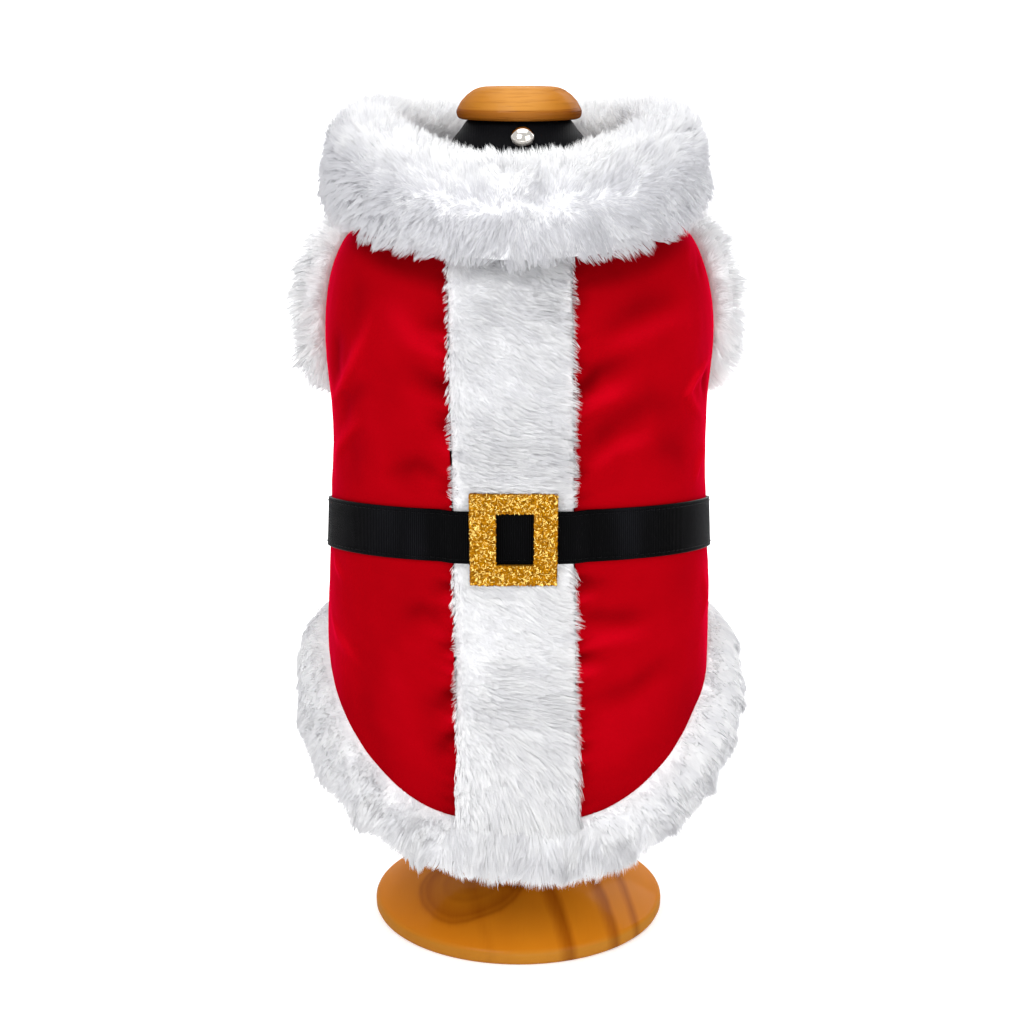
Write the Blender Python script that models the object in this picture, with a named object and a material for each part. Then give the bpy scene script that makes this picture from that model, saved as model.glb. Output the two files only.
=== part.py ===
"""Santa coat for a medium dog, worn by a limbless dress form that stands on a turned wooden base.

Run with: blender --background --python part.py

Sizes in the tables below are millimetres and degrees. Meshes are made in metres, +Z up.
The origin is on the floor, under the middle of the base. The coat's decorated back faces -Y,
its belly side faces +Y. An azimuth of 0 degrees points to -Y, and 90 degrees to +X.
"""

import math

import bmesh
import bpy
import numpy as np

MM = 0.001

# ---------------------------------------------------------------- driving dimensions
SEAM_GAP = 0.3  # between two pieces that are sewn or set against each other
CLOTH = 1.6  # wall of the red velvet, with its seam allowance
RIBBON_WIDTH = 25.4
RIBBON_THICKNESS = 1.0
PLACKET_WIDTH = 58.0
SIDE_SEAM = 98.0  # azimuth of the seams between the back panels and the belly panel
SEAM_TURN = 0.12  # degrees that each of the pieces at a side seam stays off it
SQUARENESS = 2.2  # exponent of the body's oval: 2 is an ellipse
MM_PER_DEGREE = math.radians(1.0) * 95.0  # cloth to a degree of azimuth, at the body's mean radius

HEM_BACK = 86.0  # height of the red cloth's lower edge at the middle of the back
HEM_BELLY = 162.0
HEM_RISE = (15.0, 108.0)  # azimuths between which the hem climbs

BELT_HEIGHT = 228.3  # middle of the ribbon at the middle of the back
BELT_DROP = 12.3  # how much lower it lies where it meets the side
BELT_DROP_AT = 84.0
BELT_BEND = 2.4  # exponent of that drop: it is nearly level over the back
BELT_END = SIDE_SEAM - 1.5
RIBBON_SECTION = ((-1, 0), (-1, 1), (0, 1), (1, 1), (1, 0), (0, 0))  # half widths up, thicknesses out

# Air between the coat and the form, by height. The coat rests on the shoulders.
FORM_EASE = ((318.0, 4.6), (338.0, 4.0), (351.0, 0.6), (371.5, 0.6), (375.0, 2.2))

NECK_SEAM = 375.0
CAP_SEAT = 417.5
SHOULDER_ROWS = 6  # the last sections of the body, above the level where it turns in

# Outer surface of the coat. Each row is one level section: half its width, and its depth from the
# axis to the middle of the back and to the middle of the belly.
BODY_COLUMNS = ("height", "half_width", "back", "belly")
BODY = (
    (40.0, 97.0, 95.5, 84.0),
    (86.0, 98.2, 94.5, 84.0),
    (120.0, 98.9, 93.5, 84.5),
    (150.0, 99.0, 92.5, 85.0),
    (176.0, 98.7, 91.5, 87.0),
    (200.0, 97.3, 90.5, 90.5),
    (228.0, 96.0, 90.0, 95.0),
    (255.0, 94.9, 90.0, 100.0),
    (280.0, 95.2, 91.0, 104.0),
    (300.0, 96.9, 91.5, 105.0),
    (318.0, 97.3, 90.0, 102.0),
    (335.0, 95.4, 86.5, 96.0),
    (350.0, 91.2, 80.5, 87.0),
    (360.0, 86.2, 74.0, 78.0),
    (367.0, 79.0, 66.5, 69.0),
    (371.5, 69.0, 58.0, 60.0),
    (NECK_SEAM, 58.0, 50.0, 52.0),
)

# Soft folds of the red cloth: a ridge where rise is above 0, a trough where it is below.
# Each runs from one point to another and fades out at both ends. Columns: azimuth and height
# where it starts, azimuth and height where it ends, width, rise.
FOLDS = (
    # left back panel, above the ribbon
    (-47.0, 330.0, -78.0, 276.0, 7.0, 3.2),
    (-62.0, 322.0, -84.0, 282.0, 7.0, -2.6),
    (-54.0, 276.0, -78.0, 245.0, 8.0, 2.2),
    (-15.0, 293.0, -42.0, 307.0, 6.0, -2.8),
    (-17.0, 308.0, -40.0, 322.0, 7.0, 2.2),
    (-15.0, 276.0, -38.0, 286.0, 7.0, 1.8),
    (-16.0, 255.0, -44.0, 258.0, 6.0, -2.4),
    # right back panel, above the ribbon
    (20.0, 318.0, 52.0, 338.0, 8.0, -2.6),
    (18.0, 308.0, 44.0, 327.0, 7.0, 2.4),
    (14.0, 296.0, 40.0, 314.0, 6.0, -2.8),
    (14.0, 284.0, 38.0, 298.0, 7.0, 2.2),
    (16.0, 264.0, 58.0, 286.0, 8.0, -2.8),
    (22.0, 256.0, 56.0, 272.0, 7.0, 1.8),
    (52.0, 292.0, 84.0, 306.0, 6.0, 3.0),
    (54.0, 286.0, 80.0, 268.0, 6.0, 2.4),
    # left back panel, below the ribbon
    (-80.0, 203.0, -48.0, 190.0, 7.0, 2.8),
    (-82.0, 182.0, -44.0, 148.0, 7.0, 3.0),
    (-16.0, 200.0, -46.0, 197.0, 6.0, -2.4),
    (-16.0, 186.0, -46.0, 182.0, 6.0, -2.2),
    (-16.0, 158.0, -44.0, 150.0, 8.0, 2.2),
    (-16.0, 134.0, -40.0, 130.0, 8.0, -2.2),
    # right back panel, below the ribbon
    (16.0, 204.0, 36.0, 198.0, 6.0, -2.4),
    (16.0, 187.0, 48.0, 182.0, 6.0, -2.6),
    (16.0, 168.0, 40.0, 163.0, 6.0, -2.0),
    (18.0, 145.0, 54.0, 160.0, 8.0, -2.6),
    (16.0, 176.0, 44.0, 172.0, 7.0, 2.0),
    (60.0, 196.0, 84.0, 176.0, 7.0, 3.0),
    (20.0, 128.0, 46.0, 136.0, 8.0, 2.0),
    # belly panel
    (168.0, 310.0, 160.0, 250.0, 9.0, 2.6),
    (184.0, 300.0, 192.0, 235.0, 9.0, 2.8),
    (200.0, 268.0, 232.0, 250.0, 8.0, 2.4),
    (122.0, 262.0, 152.0, 240.0, 8.0, 2.6),
    (118.0, 222.0, 150.0, 206.0, 8.0, 2.4),
    (206.0, 214.0, 240.0, 230.0, 8.0, 2.4),
    (150.0, 186.0, 176.0, 178.0, 8.0, 2.0),
    (168.0, 346.0, 192.0, 340.0, 7.0, 2.0),
)
FOLD_FADE_IN = (-0.15, 0.3)  # shares of a fold's length over which it grows, at its start
FOLD_FADE_OUT = (-0.15, 0.5)  # and those over which it dies away, counted from its end
FOLD_FREE = (13.0, 23.0)  # above and below the ribbon's middle: flat within, full folds beyond
FOLD_FREE_AT_SIDE = 12.0  # degrees past the side seam where the belt no longer flattens the folds
FOLDS_END = 360.0  # height of the shoulder, where the folds have died away
FOLDS_END_FADE = 26.0

# The form's lower end: heights, and shares of the oval above it.
RUMP = ((72.0, 0.36), (73.5, 0.50), (78.0, 0.66), (86.0, 0.79), (97.0, 0.88))
RUMP_TOP = 112.0

# The form's neck: heights and radii.
NECK = (
    (378.0, 46.5),
    (388.0, 41.0),
    (398.0, 37.0),
    (407.0, 33.0),
    (412.5, 28.8),
    (416.2, 26.2),
    (CAP_SEAT - SEAM_GAP, 24.5),
)

# Turned pieces. Each row is a point of the profile, radius and height, from the top down.
CAP = (
    (0.0, 433.0),
    (18.6, 433.0),
    (21.5, 432.0),
    (25.5, 429.3),
    (28.8, 425.6),
    (30.4, 422.3),
    (30.8, 420.0),
    (30.2, 418.3),
    (28.8, CAP_SEAT),
    (0.0, CAP_SEAT),
)
POST = (
    (0.0, 71.7),
    (22.0, 71.7),
    (22.0, 68.5),
    (15.5, 64.5),
    (12.0, 58.0),
    (12.0, 42.0),
    (15.0, 33.0),
    (22.0, 27.0),
    (29.0, 24.8),
    (30.0, 23.5),
    (30.0, 22.3),
    (0.0, 22.3),
)
BASE = (
    (0.0, 22.0),
    (33.0, 22.0),
    (47.0, 19.6),
    (60.0, 15.6),
    (69.0, 11.3),
    (74.4, 7.6),
    (76.6, 5.2),
    (77.0, 3.6),
    (76.6, 1.6),
    (75.6, 0.0),
    (0.0, 0.0),
)
STUD = ((0.0, 4.6), (2.4, 4.3), (4.2, 3.3), (5.4, 1.9), (5.8, 0.9), (5.5, 0.0), (0.0, 0.0))
STUD_PLACE = (1.5, 31.3, 409.6)  # x, distance in front of the axis, height
STUD_TILT = 37.0  # how far above level it points, square to the sloping neck
STUD_OFF = SEAM_GAP + 0.1

# Fur. A section is a closed outline of (along, out) in millimetres.
HEM_SECTION = (  # along: away from the red edge; out: off the body
    (0.4, 1.2),
    (1.8, 6.5),
    (6.0, 12.0),
    (13.0, 15.8),
    (20.0, 16.6),
    (26.5, 13.8),
    (30.5, 8.8),
    (32.0, 3.6),
    (29.5, 0.4),
    (20.0, -1.0),
    (8.0, -CLOTH),
    (0.4, -CLOTH),
)
HEM_FLARE = 0.08  # how much the band leans outwards as it hangs
PLACKET_SECTION = (  # share of the half width, height above the cloth's face
    (-0.975, -CLOTH),
    (-0.985, 1.0),
    (-1.02, 3.4),
    (-0.93, 6.0),
    (-0.60, 7.4),
    (0.0, 7.8),
    (0.60, 7.4),
    (0.93, 6.0),
    (1.02, 3.4),
    (0.985, 1.0),
    (0.975, -CLOTH),
    (0.5, -CLOTH),
    (0.0, -CLOTH),
    (-0.5, -CLOTH),
)
PLACKET_PRESSED = 0.36  # share of the pile's height that is left under the ribbon and the buckle
PLACKET_TUCKED = 0.13  # the same at the neck seam, under the collar
PLACKET_UNDER_BELT = (23.5, 30.0)  # off the ribbon's middle: pressed within, full pile beyond
PLACKET_UNDER_COLLAR = (340.0, 351.0)  # heights between which the collar presses it down
PLACKET_TUCK = (354.0, 366.0)
PLACKET_LEVELS = (  # heights of its sections: first, last and how many
    (HEM_BACK + SEAM_GAP, 198.0, 14),
    (204.0, 252.0, 7),
    (258.0, 342.0, 12),
    (347.0, 354.0, 2),
)
PLACKET_SHOULDER_LEVELS = 5  # the body's last sections, which it follows over the shoulder
CUFF_SECTION = (  # away from the armhole's edge, off the body
    (-1.2, 0.8),
    (11.0, 0.5),
    (16.8, 4.4),
    (18.8, 10.0),
    (17.2, 16.0),
    (11.8, 20.4),
    (5.0, 21.2),
    (-0.4, 17.4),
    (-2.0, 9.0),
)

ARMHOLE_AZIMUTH = 120.0
ARMHOLE_HEIGHT = 323.5
ARMHOLE_HALF = (29.0, 33.0)  # half its width round the body, half its height
ARMHOLE_CUT = (-34.0, 20.0)  # how far the cut runs in and out of the body
FLAT_ROUND_ARMHOLE = (50.0, 66.0)  # from its middle: no folds within, full folds beyond

COLLAR_INNER = (52.0, 50.0, 50.0)  # half width, back, belly
COLLAR_OUTER = (95.0, 102.0, 94.0)
COLLAR_SHIFT = -1.4  # the collar sits this much off the middle
COLLAR_TOP = ((0.0, 409.5), (35.0, 413.0), (75.0, 425.5), (110.0, 427.5), (180.0, 423.5))
COLLAR_FALL = (
    (0.0, 355.0),
    (25.0, 357.5),
    (45.0, 363.5),
    (60.0, 370.0),
    (76.0, 375.0),
    (92.0, 377.5),
    (108.0, 378.5),
    (145.0, 377.0),
    (180.0, 372.0),
)
COLLAR_SECTION = (  # share from the inner to the outer radius, share from the fall to the top
    (0.88, 0.00),
    (0.97, 0.09),
    (1.00, 0.28),
    (0.99, 0.50),
    (0.93, 0.70),
    (0.80, 0.88),
    (0.62, 0.98),
    (0.45, 1.00),
    (0.26, 0.95),
    (0.10, 0.82),
    (0.01, 0.64),
)
COLLAR_UNDERSIDE = ((-1.0, 0.0), (4.0, 0.0), (8.0, 9.0), (12.0, 2.5))  # outward and up from its seat
COLLAR_LINING = (0.5, 6.0)  # outward from the inner radius, and up from its seat
COLLAR_SEAT_OFF = SEAM_GAP + 0.1
COLLAR_STEP = 2.1  # how much higher it sits where the placket lies under it
COLLAR_STEP_AT = (34.0, 42.0)  # azimuths between which that step comes down
COLLAR_LIP = (4.2, 0.6)  # how far its lower edge hangs off the cloth, and above its lowest level
COLLAR_LIP_LEAST = 17.0  # radius of that edge beyond the seat, at least

BUCKLE_TOP_WIDTH, BUCKLE_FOOT_WIDTH, BUCKLE_HEIGHT = 41.6, 40.8, 44.3
BUCKLE_WINDOW = (17.8, 25.0)
BUCKLE_WINDOW_SHIFT = 0.7  # the left bar is a little wider than the right one
BUCKLE_THICKNESS = 2.6
BUCKLE_EDGE = 0.5

COLOURS = {  # name: (red, green, blue), roughness, metallic
    "red_velvet": ((0.50, 0.002, 0.010), 0.75, 0.0),
    "white_fur": ((0.88, 0.88, 0.90), 0.95, 0.0),
    "black_ribbon": ((0.012, 0.012, 0.014), 0.55, 0.0),
    "gold_glitter": ((0.85, 0.50, 0.06), 0.30, 0.8),
    "form_jersey": ((0.010, 0.010, 0.013), 0.90, 0.0),
    "honey_wood": ((0.56, 0.25, 0.06), 0.32, 0.0),
    "polished_steel": ((0.80, 0.78, 0.74), 0.12, 1.0),
}


# ---------------------------------------------------------------- shape of the body
def smooth_step(value, low, high):
    share = np.clip((value - low) / (high - low), 0.0, 1.0)
    return share * share * (3.0 - 2.0 * share)


def spline(rows, steps):
    """Points on a smooth curve through the rows, steps of them to each stretch."""
    rows = np.array(rows, float)
    padded = np.vstack([2 * rows[0] - rows[1], rows, 2 * rows[-1] - rows[-2]])
    points = []
    for a, b, c, d in zip(padded, padded[1:], padded[2:], padded[3:]):
        for t in np.arange(steps) / steps:
            points.append(
                0.5 * (2 * b + (c - a) * t + (2 * a - 5 * b + 4 * c - d) * t**2
                       + (3 * b - a - 3 * c + d) * t**3)
            )
    points.append(rows[-1])
    return np.array(points)


BODY_CURVE = spline(BODY, 12)
BODY_RISE = np.concatenate(
    [[0.0], np.cumsum(np.hypot(*np.diff(BODY_CURVE[:, [0, 2]], axis=0).T))]
)  # length along the middle of the back


def rise_at(height):
    """How far up the middle of the back a height lies."""
    return np.interp(height, BODY_CURVE[:, 0], BODY_RISE)


def oval(azimuth, half_width, back, belly, squareness=SQUARENESS):
    """Radius of an oval whose depth differs between the back and the belly."""
    angle = np.radians(azimuth)
    depth = np.where(np.cos(angle) > 0, back, belly)
    total = (np.abs(np.sin(angle)) / half_width) ** squareness
    total = total + (np.abs(np.cos(angle)) / depth) ** squareness
    return total ** (-1.0 / squareness)


def round_point(azimuth, radius, height):
    angle = np.radians(azimuth)
    return np.stack(
        np.broadcast_arrays(radius * np.sin(angle), -radius * np.cos(angle), height), axis=-1
    )


def body_point(azimuth, rise):
    height, half_width, back, belly = (
        np.interp(rise, BODY_RISE, BODY_CURVE[:, k]) for k in range(len(BODY_COLUMNS))
    )
    return round_point(azimuth, oval(azimuth, half_width, back, belly), height)


def body_normal(azimuth, rise):
    step_angle, step_rise = 0.4, 0.6
    around = body_point(azimuth + step_angle, rise) - body_point(azimuth - step_angle, rise)
    upwards = body_point(azimuth, rise + step_rise) - body_point(azimuth, rise - step_rise)
    normal = np.cross(around, upwards)
    return normal / np.linalg.norm(normal, axis=-1, keepdims=True)


def on_body(azimuth, rise, lift=0.0):
    """A point of the coat's outer surface, moved out by lift."""
    lift = np.asarray(lift, float)
    return body_point(azimuth, rise) + lift[..., None] * body_normal(azimuth, rise)


def around_back(azimuth):
    """The same azimuth, counted from -180 to 180."""
    return (np.asarray(azimuth, float) + 180.0) % 360.0 - 180.0


def hem_height(azimuth):
    share = smooth_step(np.abs(around_back(azimuth)), *HEM_RISE)
    return HEM_BACK + (HEM_BELLY - HEM_BACK) * share


def belt_height(azimuth):
    return BELT_HEIGHT - BELT_DROP * (np.abs(around_back(azimuth)) / BELT_DROP_AT) ** BELT_BEND


def fold_lift(azimuth, height):
    """How far the folds move the red cloth off its plain surface."""
    lift = np.zeros(np.broadcast(azimuth, height).shape)
    nearest = around_back(azimuth)
    for from_az, from_z, to_az, to_z, width, rise in FOLDS:
        along = np.array([(to_az - from_az) * MM_PER_DEGREE, to_z - from_z])
        length = np.hypot(*along)
        along = along / length
        turned = azimuth if from_az > SIDE_SEAM else nearest
        across_x, across_z = (turned - from_az) * MM_PER_DEGREE, height - from_z
        share = (across_x * along[0] + across_z * along[1]) / length
        off = across_x * along[1] - across_z * along[0]
        fade = smooth_step(share, *FOLD_FADE_IN) * smooth_step(1.0 - share, *FOLD_FADE_OUT)
        lift = lift + rise * fade * np.exp(-((off / width) ** 2))
    side = FOLD_FREE_AT_SIDE
    on_back = smooth_step(SIDE_SEAM + side - np.abs(nearest), 0.0, side)
    off_belt = smooth_step(np.abs(height - belt_height(nearest)), *FOLD_FREE)
    under_collar = smooth_step(FOLDS_END - height, 0.0, FOLDS_END_FADE)
    return lift * (1.0 - on_back * (1.0 - off_belt)) * under_collar


# ---------------------------------------------------------------- making objects
def material(name):
    found = bpy.data.materials.get(name)
    if found:
        return found
    colour, roughness, metallic = COLOURS[name]
    made = bpy.data.materials.new(name)
    made.use_nodes = True
    made.diffuse_color = (*colour, 1.0)
    shader = made.node_tree.nodes["Principled BSDF"]
    shader.inputs["Base Color"].default_value = (*colour, 1.0)
    shader.inputs["Roughness"].default_value = roughness
    shader.inputs["Metallic"].default_value = metallic
    return made


def add_object(name, points, faces, finish, sharp_above=None):
    """A named object from points in millimetres and faces of their numbers."""
    mesh = bpy.data.meshes.new(name)
    mesh.from_pydata((np.asarray(points, float) * MM).tolist(), [], faces)
    mesh.update()
    mesh.shade_smooth()
    if sharp_above is not None:
        mesh.set_sharp_from_angle(angle=math.radians(sharp_above))
    mesh.materials.append(material(finish))
    made = bpy.data.objects.new(name, mesh)
    bpy.context.scene.collection.objects.link(made)
    return made


def grid_faces(rows, columns, wrap=False):
    """Quads of a grid of points, joined round to its first column if it wraps."""
    return [
        (r * columns + c, r * columns + (c + 1) % columns,
         (r + 1) * columns + (c + 1) % columns, (r + 1) * columns + c)
        for r in range(rows - 1)
        for c in range(columns if wrap else columns - 1)
    ]


def add_cloth(name, grid, finish, thickness=CLOTH):
    """A panel: a grid of points on its outer face, thickened inwards."""
    rows, columns = grid.shape[:2]
    panel = add_object(name, grid.reshape(-1, 3), grid_faces(rows, columns), finish)
    wall = panel.modifiers.new("wall", "SOLIDIFY")
    wall.thickness = thickness * MM
    wall.offset = -1.0
    wall.use_even_offset = True
    return panel


def add_loft(name, sections, finish, closed=False, sharp_above=None):
    """A solid through closed sections, capped at its ends or joined into a ring."""
    sections = np.asarray(sections, float)
    count, around = sections.shape[:2]
    faces = grid_faces(count, around, wrap=True)
    if closed:
        last = (count - 1) * around
        faces += [
            (last + c, last + (c + 1) % around, (c + 1) % around, c) for c in range(around)
        ]
    else:
        faces += [tuple(reversed(range(around)))]
        faces += [tuple(range((count - 1) * around, count * around))]
    made = add_object(name, sections.reshape(-1, 3), faces, finish, sharp_above)
    outwards = bmesh.new()
    outwards.from_mesh(made.data)
    bmesh.ops.recalc_face_normals(outwards, faces=outwards.faces)
    outwards.to_mesh(made.data)
    outwards.free()
    return made


def add_turned(name, profile, finish, steps):
    """A piece turned about +Z from its profile, which runs down the outer side."""
    points = [(radius, 0.0, height) for radius, height in profile]
    edges = [(k, k + 1) for k in range(len(points) - 1)]
    mesh = bpy.data.meshes.new(name)
    mesh.from_pydata((np.array(points) * MM).tolist(), edges, [])
    mesh.materials.append(material(finish))
    made = bpy.data.objects.new(name, mesh)
    bpy.context.scene.collection.objects.link(made)
    turn = made.modifiers.new("turn", "SCREW")
    turn.steps = turn.render_steps = steps
    turn.use_merge_vertices = True
    turn.merge_threshold = 0.00001
    turn.use_smooth_shade = True
    return made


# ---------------------------------------------------------------- the form
def add_form():
    around = np.arange(0.0, 360.0, 360.0 / 36)
    rings = []
    for height, share in RUMP:
        ring = on_body(around, rise_at(RUMP_TOP), -CLOTH - FORM_EASE[0][1])
        ring[:, :2] *= share
        ring[:, 2] = height
        rings.append(ring)
    levels = [row[0] for row in BODY if row[0] > RUMP_TOP]
    for height in [RUMP_TOP, *levels]:
        ease = np.interp(height, *np.array(FORM_EASE).T)
        rings.append(on_body(around, rise_at(height), np.full(len(around), -CLOTH - ease)))
    for height, radius in NECK:
        rings.append(round_point(around, radius, height))
    return add_loft("form_body", rings, "form_jersey")


def add_stand():
    add_turned("base", BASE, "honey_wood", steps=40)
    add_turned("post", POST, "honey_wood", steps=24)
    add_turned("neck_cap", CAP, "honey_wood", steps=36)
    stud = add_turned("neck_stud", STUD, "polished_steel", steps=20)
    x, forward, height = STUD_PLACE
    tilt = math.radians(STUD_TILT)
    forward += STUD_OFF * math.cos(tilt)
    height += STUD_OFF * math.sin(tilt)
    stud.location = (x * MM, -forward * MM, height * MM)
    stud.rotation_euler = (math.radians(90.0) - tilt, 0.0, 0.0)


# ---------------------------------------------------------------- the coat
def placket_middle(height):
    """The strip leans: its middle lies this far from the axis."""
    return -0.7 - 0.0148 * (height - HEM_BACK)


def azimuth_of_x(x, rise):
    """Azimuth of the point of the back at this x."""
    low, high = np.full(np.shape(rise), -80.0), np.full(np.shape(rise), 80.0)
    for _ in range(30):
        middle = (low + high) / 2
        left_of = body_point(middle, rise)[..., 0] < x
        low, high = np.where(left_of, middle, low), np.where(left_of, high, middle)
    return (low + high) / 2


def panel_rises(azimuth, share, rows):
    """Rises of a panel's rows: even up to the shoulder, then one at each section of the body."""
    shoulder = rise_at(BODY[-1 - SHOULDER_ROWS][0])
    low = rise_at(hem_height(azimuth))
    rise = low + (shoulder - low) * np.minimum(share, 1.0)
    for k in range(1, SHOULDER_ROWS + 1):
        rise = np.where(share > 1.0 + (k - 0.5) / rows, rise_at(BODY[k - 1 - SHOULDER_ROWS][0]), rise)
    return rise


def panel_shares(columns, rows):
    upward = np.concatenate(
        [np.linspace(0.0, 1.0, rows), 1.0 + np.arange(1, SHOULDER_ROWS + 1) / rows]
    )
    return np.meshgrid(np.linspace(0.0, 1.0, columns), upward)


def panel_grid(side, columns, rows):
    """Azimuths and rises of a back panel, from the placket's edge to the side seam."""
    share_c, share_r = panel_shares(columns, rows)
    azimuth = side * (18.0 + (SIDE_SEAM - 18.0) * share_c)
    for _ in range(4):
        rise = panel_rises(azimuth, share_r, rows)
        height = np.interp(rise, BODY_RISE, BODY_CURVE[:, 0])
        edge_x = placket_middle(height) + side * (PLACKET_WIDTH / 2 + SEAM_GAP / 2)
        edge = azimuth_of_x(edge_x, rise)
        azimuth = edge + (side * (SIDE_SEAM - SEAM_TURN) - edge) * share_c
    return azimuth, rise


def add_back_panel(name, side):
    azimuth, rise = panel_grid(side, 13, 24)
    height = np.interp(rise, BODY_RISE, BODY_CURVE[:, 0])
    grid = on_body(azimuth, rise, fold_lift(azimuth, height))
    add_cloth(name, grid[:, ::side], "red_velvet")


def armhole_frame(side):
    """Middle of the armhole, and the directions out of it, round the body and up."""
    middle = body_point(side * ARMHOLE_AZIMUTH, rise_at(ARMHOLE_HEIGHT))
    out = body_normal(side * ARMHOLE_AZIMUTH, rise_at(ARMHOLE_HEIGHT))
    out[2] = 0.0
    out /= np.linalg.norm(out)
    around = np.array([-out[1], out[0], 0.0])
    return middle, out, around, np.array([0.0, 0.0, 1.0])


def add_armhole_cutter(side):
    middle, out, around, up = armhole_frame(side)
    turns = np.radians(np.arange(0.0, 360.0, 10.0))
    rim = (np.outer(np.cos(turns) * ARMHOLE_HALF[0], around)
           + np.outer(np.sin(turns) * ARMHOLE_HALF[1], up))
    name = "cutter_left" if side < 0 else "cutter_right"
    cutter = add_loft(name, [middle + rim + out * reach for reach in ARMHOLE_CUT], "red_velvet")
    cutter.hide_render = True
    cutter.display_type = "WIRE"
    return cutter


def off_armhole(azimuth, height):
    """0 round the armholes, where the cuffs are sewn on, and 1 well away from them."""
    around = (180.0 - np.abs(azimuth - 180.0) - ARMHOLE_AZIMUTH) * MM_PER_DEGREE
    return smooth_step(np.hypot(around, height - ARMHOLE_HEIGHT), *FLAT_ROUND_ARMHOLE)


def add_belly_panel():
    rows = 13
    across, upward = panel_shares(25, rows)
    first, last = SIDE_SEAM + SEAM_TURN, 360.0 - SIDE_SEAM - SEAM_TURN
    azimuth = first + (last - first) * across
    rise = panel_rises(azimuth, upward, rows)
    height = np.interp(rise, BODY_RISE, BODY_CURVE[:, 0])
    grid = on_body(azimuth, rise, fold_lift(azimuth, height) * off_armhole(azimuth, height))
    panel = add_cloth("belly_panel", grid, "red_velvet")
    for side in (-1, 1):
        cut = panel.modifiers.new("armhole", "BOOLEAN")
        cut.object = add_armhole_cutter(side)
        cut.solver = "EXACT"


def pressed(height):
    """Share of the placket's pile that stands up at a height."""
    under_belt = 1.0 - smooth_step(np.abs(height - BELT_HEIGHT), *PLACKET_UNDER_BELT)
    under_collar = smooth_step(height, *PLACKET_UNDER_COLLAR)
    tucked = smooth_step(height, *PLACKET_TUCK)
    share = 1.0 - (1.0 - PLACKET_PRESSED) * np.maximum(under_belt, under_collar)
    return share - (PLACKET_PRESSED - PLACKET_TUCKED) * tucked


def add_placket():
    heights = [row[0] for row in BODY[-PLACKET_SHOULDER_LEVELS:]]
    for first, last, count in PLACKET_LEVELS:
        heights += list(np.linspace(first, last, count))
    rises = rise_at(np.sort(heights))
    sections = []
    for rise in rises:
        height = np.interp(rise, BODY_RISE, BODY_CURVE[:, 0])
        share, pile = np.array(PLACKET_SECTION).T
        x = placket_middle(height) + share * PLACKET_WIDTH / 2
        azimuth = azimuth_of_x(x, np.full(len(x), rise))
        lift = np.where(pile > 0, pile * pressed(height), pile)
        sections.append(on_body(azimuth, np.full(len(x), rise), lift))
    add_loft("placket", sections, "white_fur")


def hem_section(azimuth):
    """The hem band's outline at an azimuth, square to the red edge and lying on the body."""
    def edge(angle):
        return body_point(angle, rise_at(hem_height(angle)))

    start = edge(azimuth)
    normal = body_normal(azimuth, rise_at(hem_height(azimuth)))
    run = edge(azimuth + 0.5) - edge(azimuth - 0.5)
    down = np.cross(normal, run)
    down *= -np.sign(down[2]) / np.linalg.norm(down)
    outline = []
    for along, out in HEM_SECTION:
        point = start + down * along
        radial = math.degrees(math.atan2(point[0], -point[1]))
        on_wall = body_point(radial, rise_at(point[2]))
        lean = HEM_FLARE * along
        outline.append(on_wall + normal * (out + lean))
    return outline


def add_hem_band(name, first, last, sections):
    turns = np.linspace(first, last, sections)
    add_loft(name, [hem_section(turn) for turn in turns], "white_fur")


def armhole_edge(side, turn):
    """Point of the coat's surface on the armhole's rim."""
    middle, _, around, _ = armhole_frame(side)
    offset = ARMHOLE_HALF[0] * math.cos(turn)
    height = ARMHOLE_HEIGHT + ARMHOLE_HALF[1] * math.sin(turn)
    rise = rise_at(height)
    azimuths = side * np.linspace(80.0, 175.0, 400)
    points = body_point(azimuths, rise)
    nearest = np.argmin(np.abs((points - middle) @ around - offset))
    return points[nearest]


def add_cuff(name, side):
    _, out, around, up = armhole_frame(side)
    sections = []
    for turn in np.radians(np.arange(0.0, 360.0, 360.0 / 28)):
        edge = armhole_edge(side, turn)
        away = around * math.cos(turn) * ARMHOLE_HALF[1] + up * math.sin(turn) * ARMHOLE_HALF[0]
        away /= np.linalg.norm(away)
        sections.append([edge + away * across + out * off for across, off in CUFF_SECTION])
    add_loft(name, sections, "white_fur", closed=True)


def collar_section(azimuth):
    """The collar's outline: a stand at the neck that turns over into a fall."""
    folded = min(azimuth % 360.0, 360.0 - azimuth % 360.0)
    top = np.interp(folded, *np.array(COLLAR_TOP).T)
    fall = np.interp(folded, *np.array(COLLAR_FALL).T)
    inner = oval(azimuth, *COLLAR_INNER, 2.0)
    outer = oval(azimuth, *COLLAR_OUTER, 2.3)
    outline = [
        (inner + (outer - inner) * across, fall + (top - fall) * up)
        for across, up in COLLAR_SECTION
    ]
    seat = oval(azimuth, *BODY[-1][1:])
    base = NECK_SEAM + COLLAR_SEAT_OFF + COLLAR_STEP * (1.0 - smooth_step(folded, *COLLAR_STEP_AT))
    outline += [(inner + COLLAR_LINING[0], base + COLLAR_LINING[1])]
    outline += [(seat + outward, base + up) for outward, up in COLLAR_UNDERSIDE]
    on_body_there = body_point(azimuth, rise_at(fall))
    lip = np.hypot(on_body_there[0], on_body_there[1]) + COLLAR_LIP[0]
    outline += [(max(lip, seat + COLLAR_LIP_LEAST), fall + COLLAR_LIP[1])]
    points = np.array([round_point(azimuth, radius, height) for radius, height in outline])
    points[:len(COLLAR_SECTION), 0] += COLLAR_SHIFT
    return points


def add_collar():
    turns = np.arange(0.0, 360.0, 360.0 / 40)
    add_loft("collar", [collar_section(turn) for turn in turns], "white_fur", closed=True)


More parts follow.
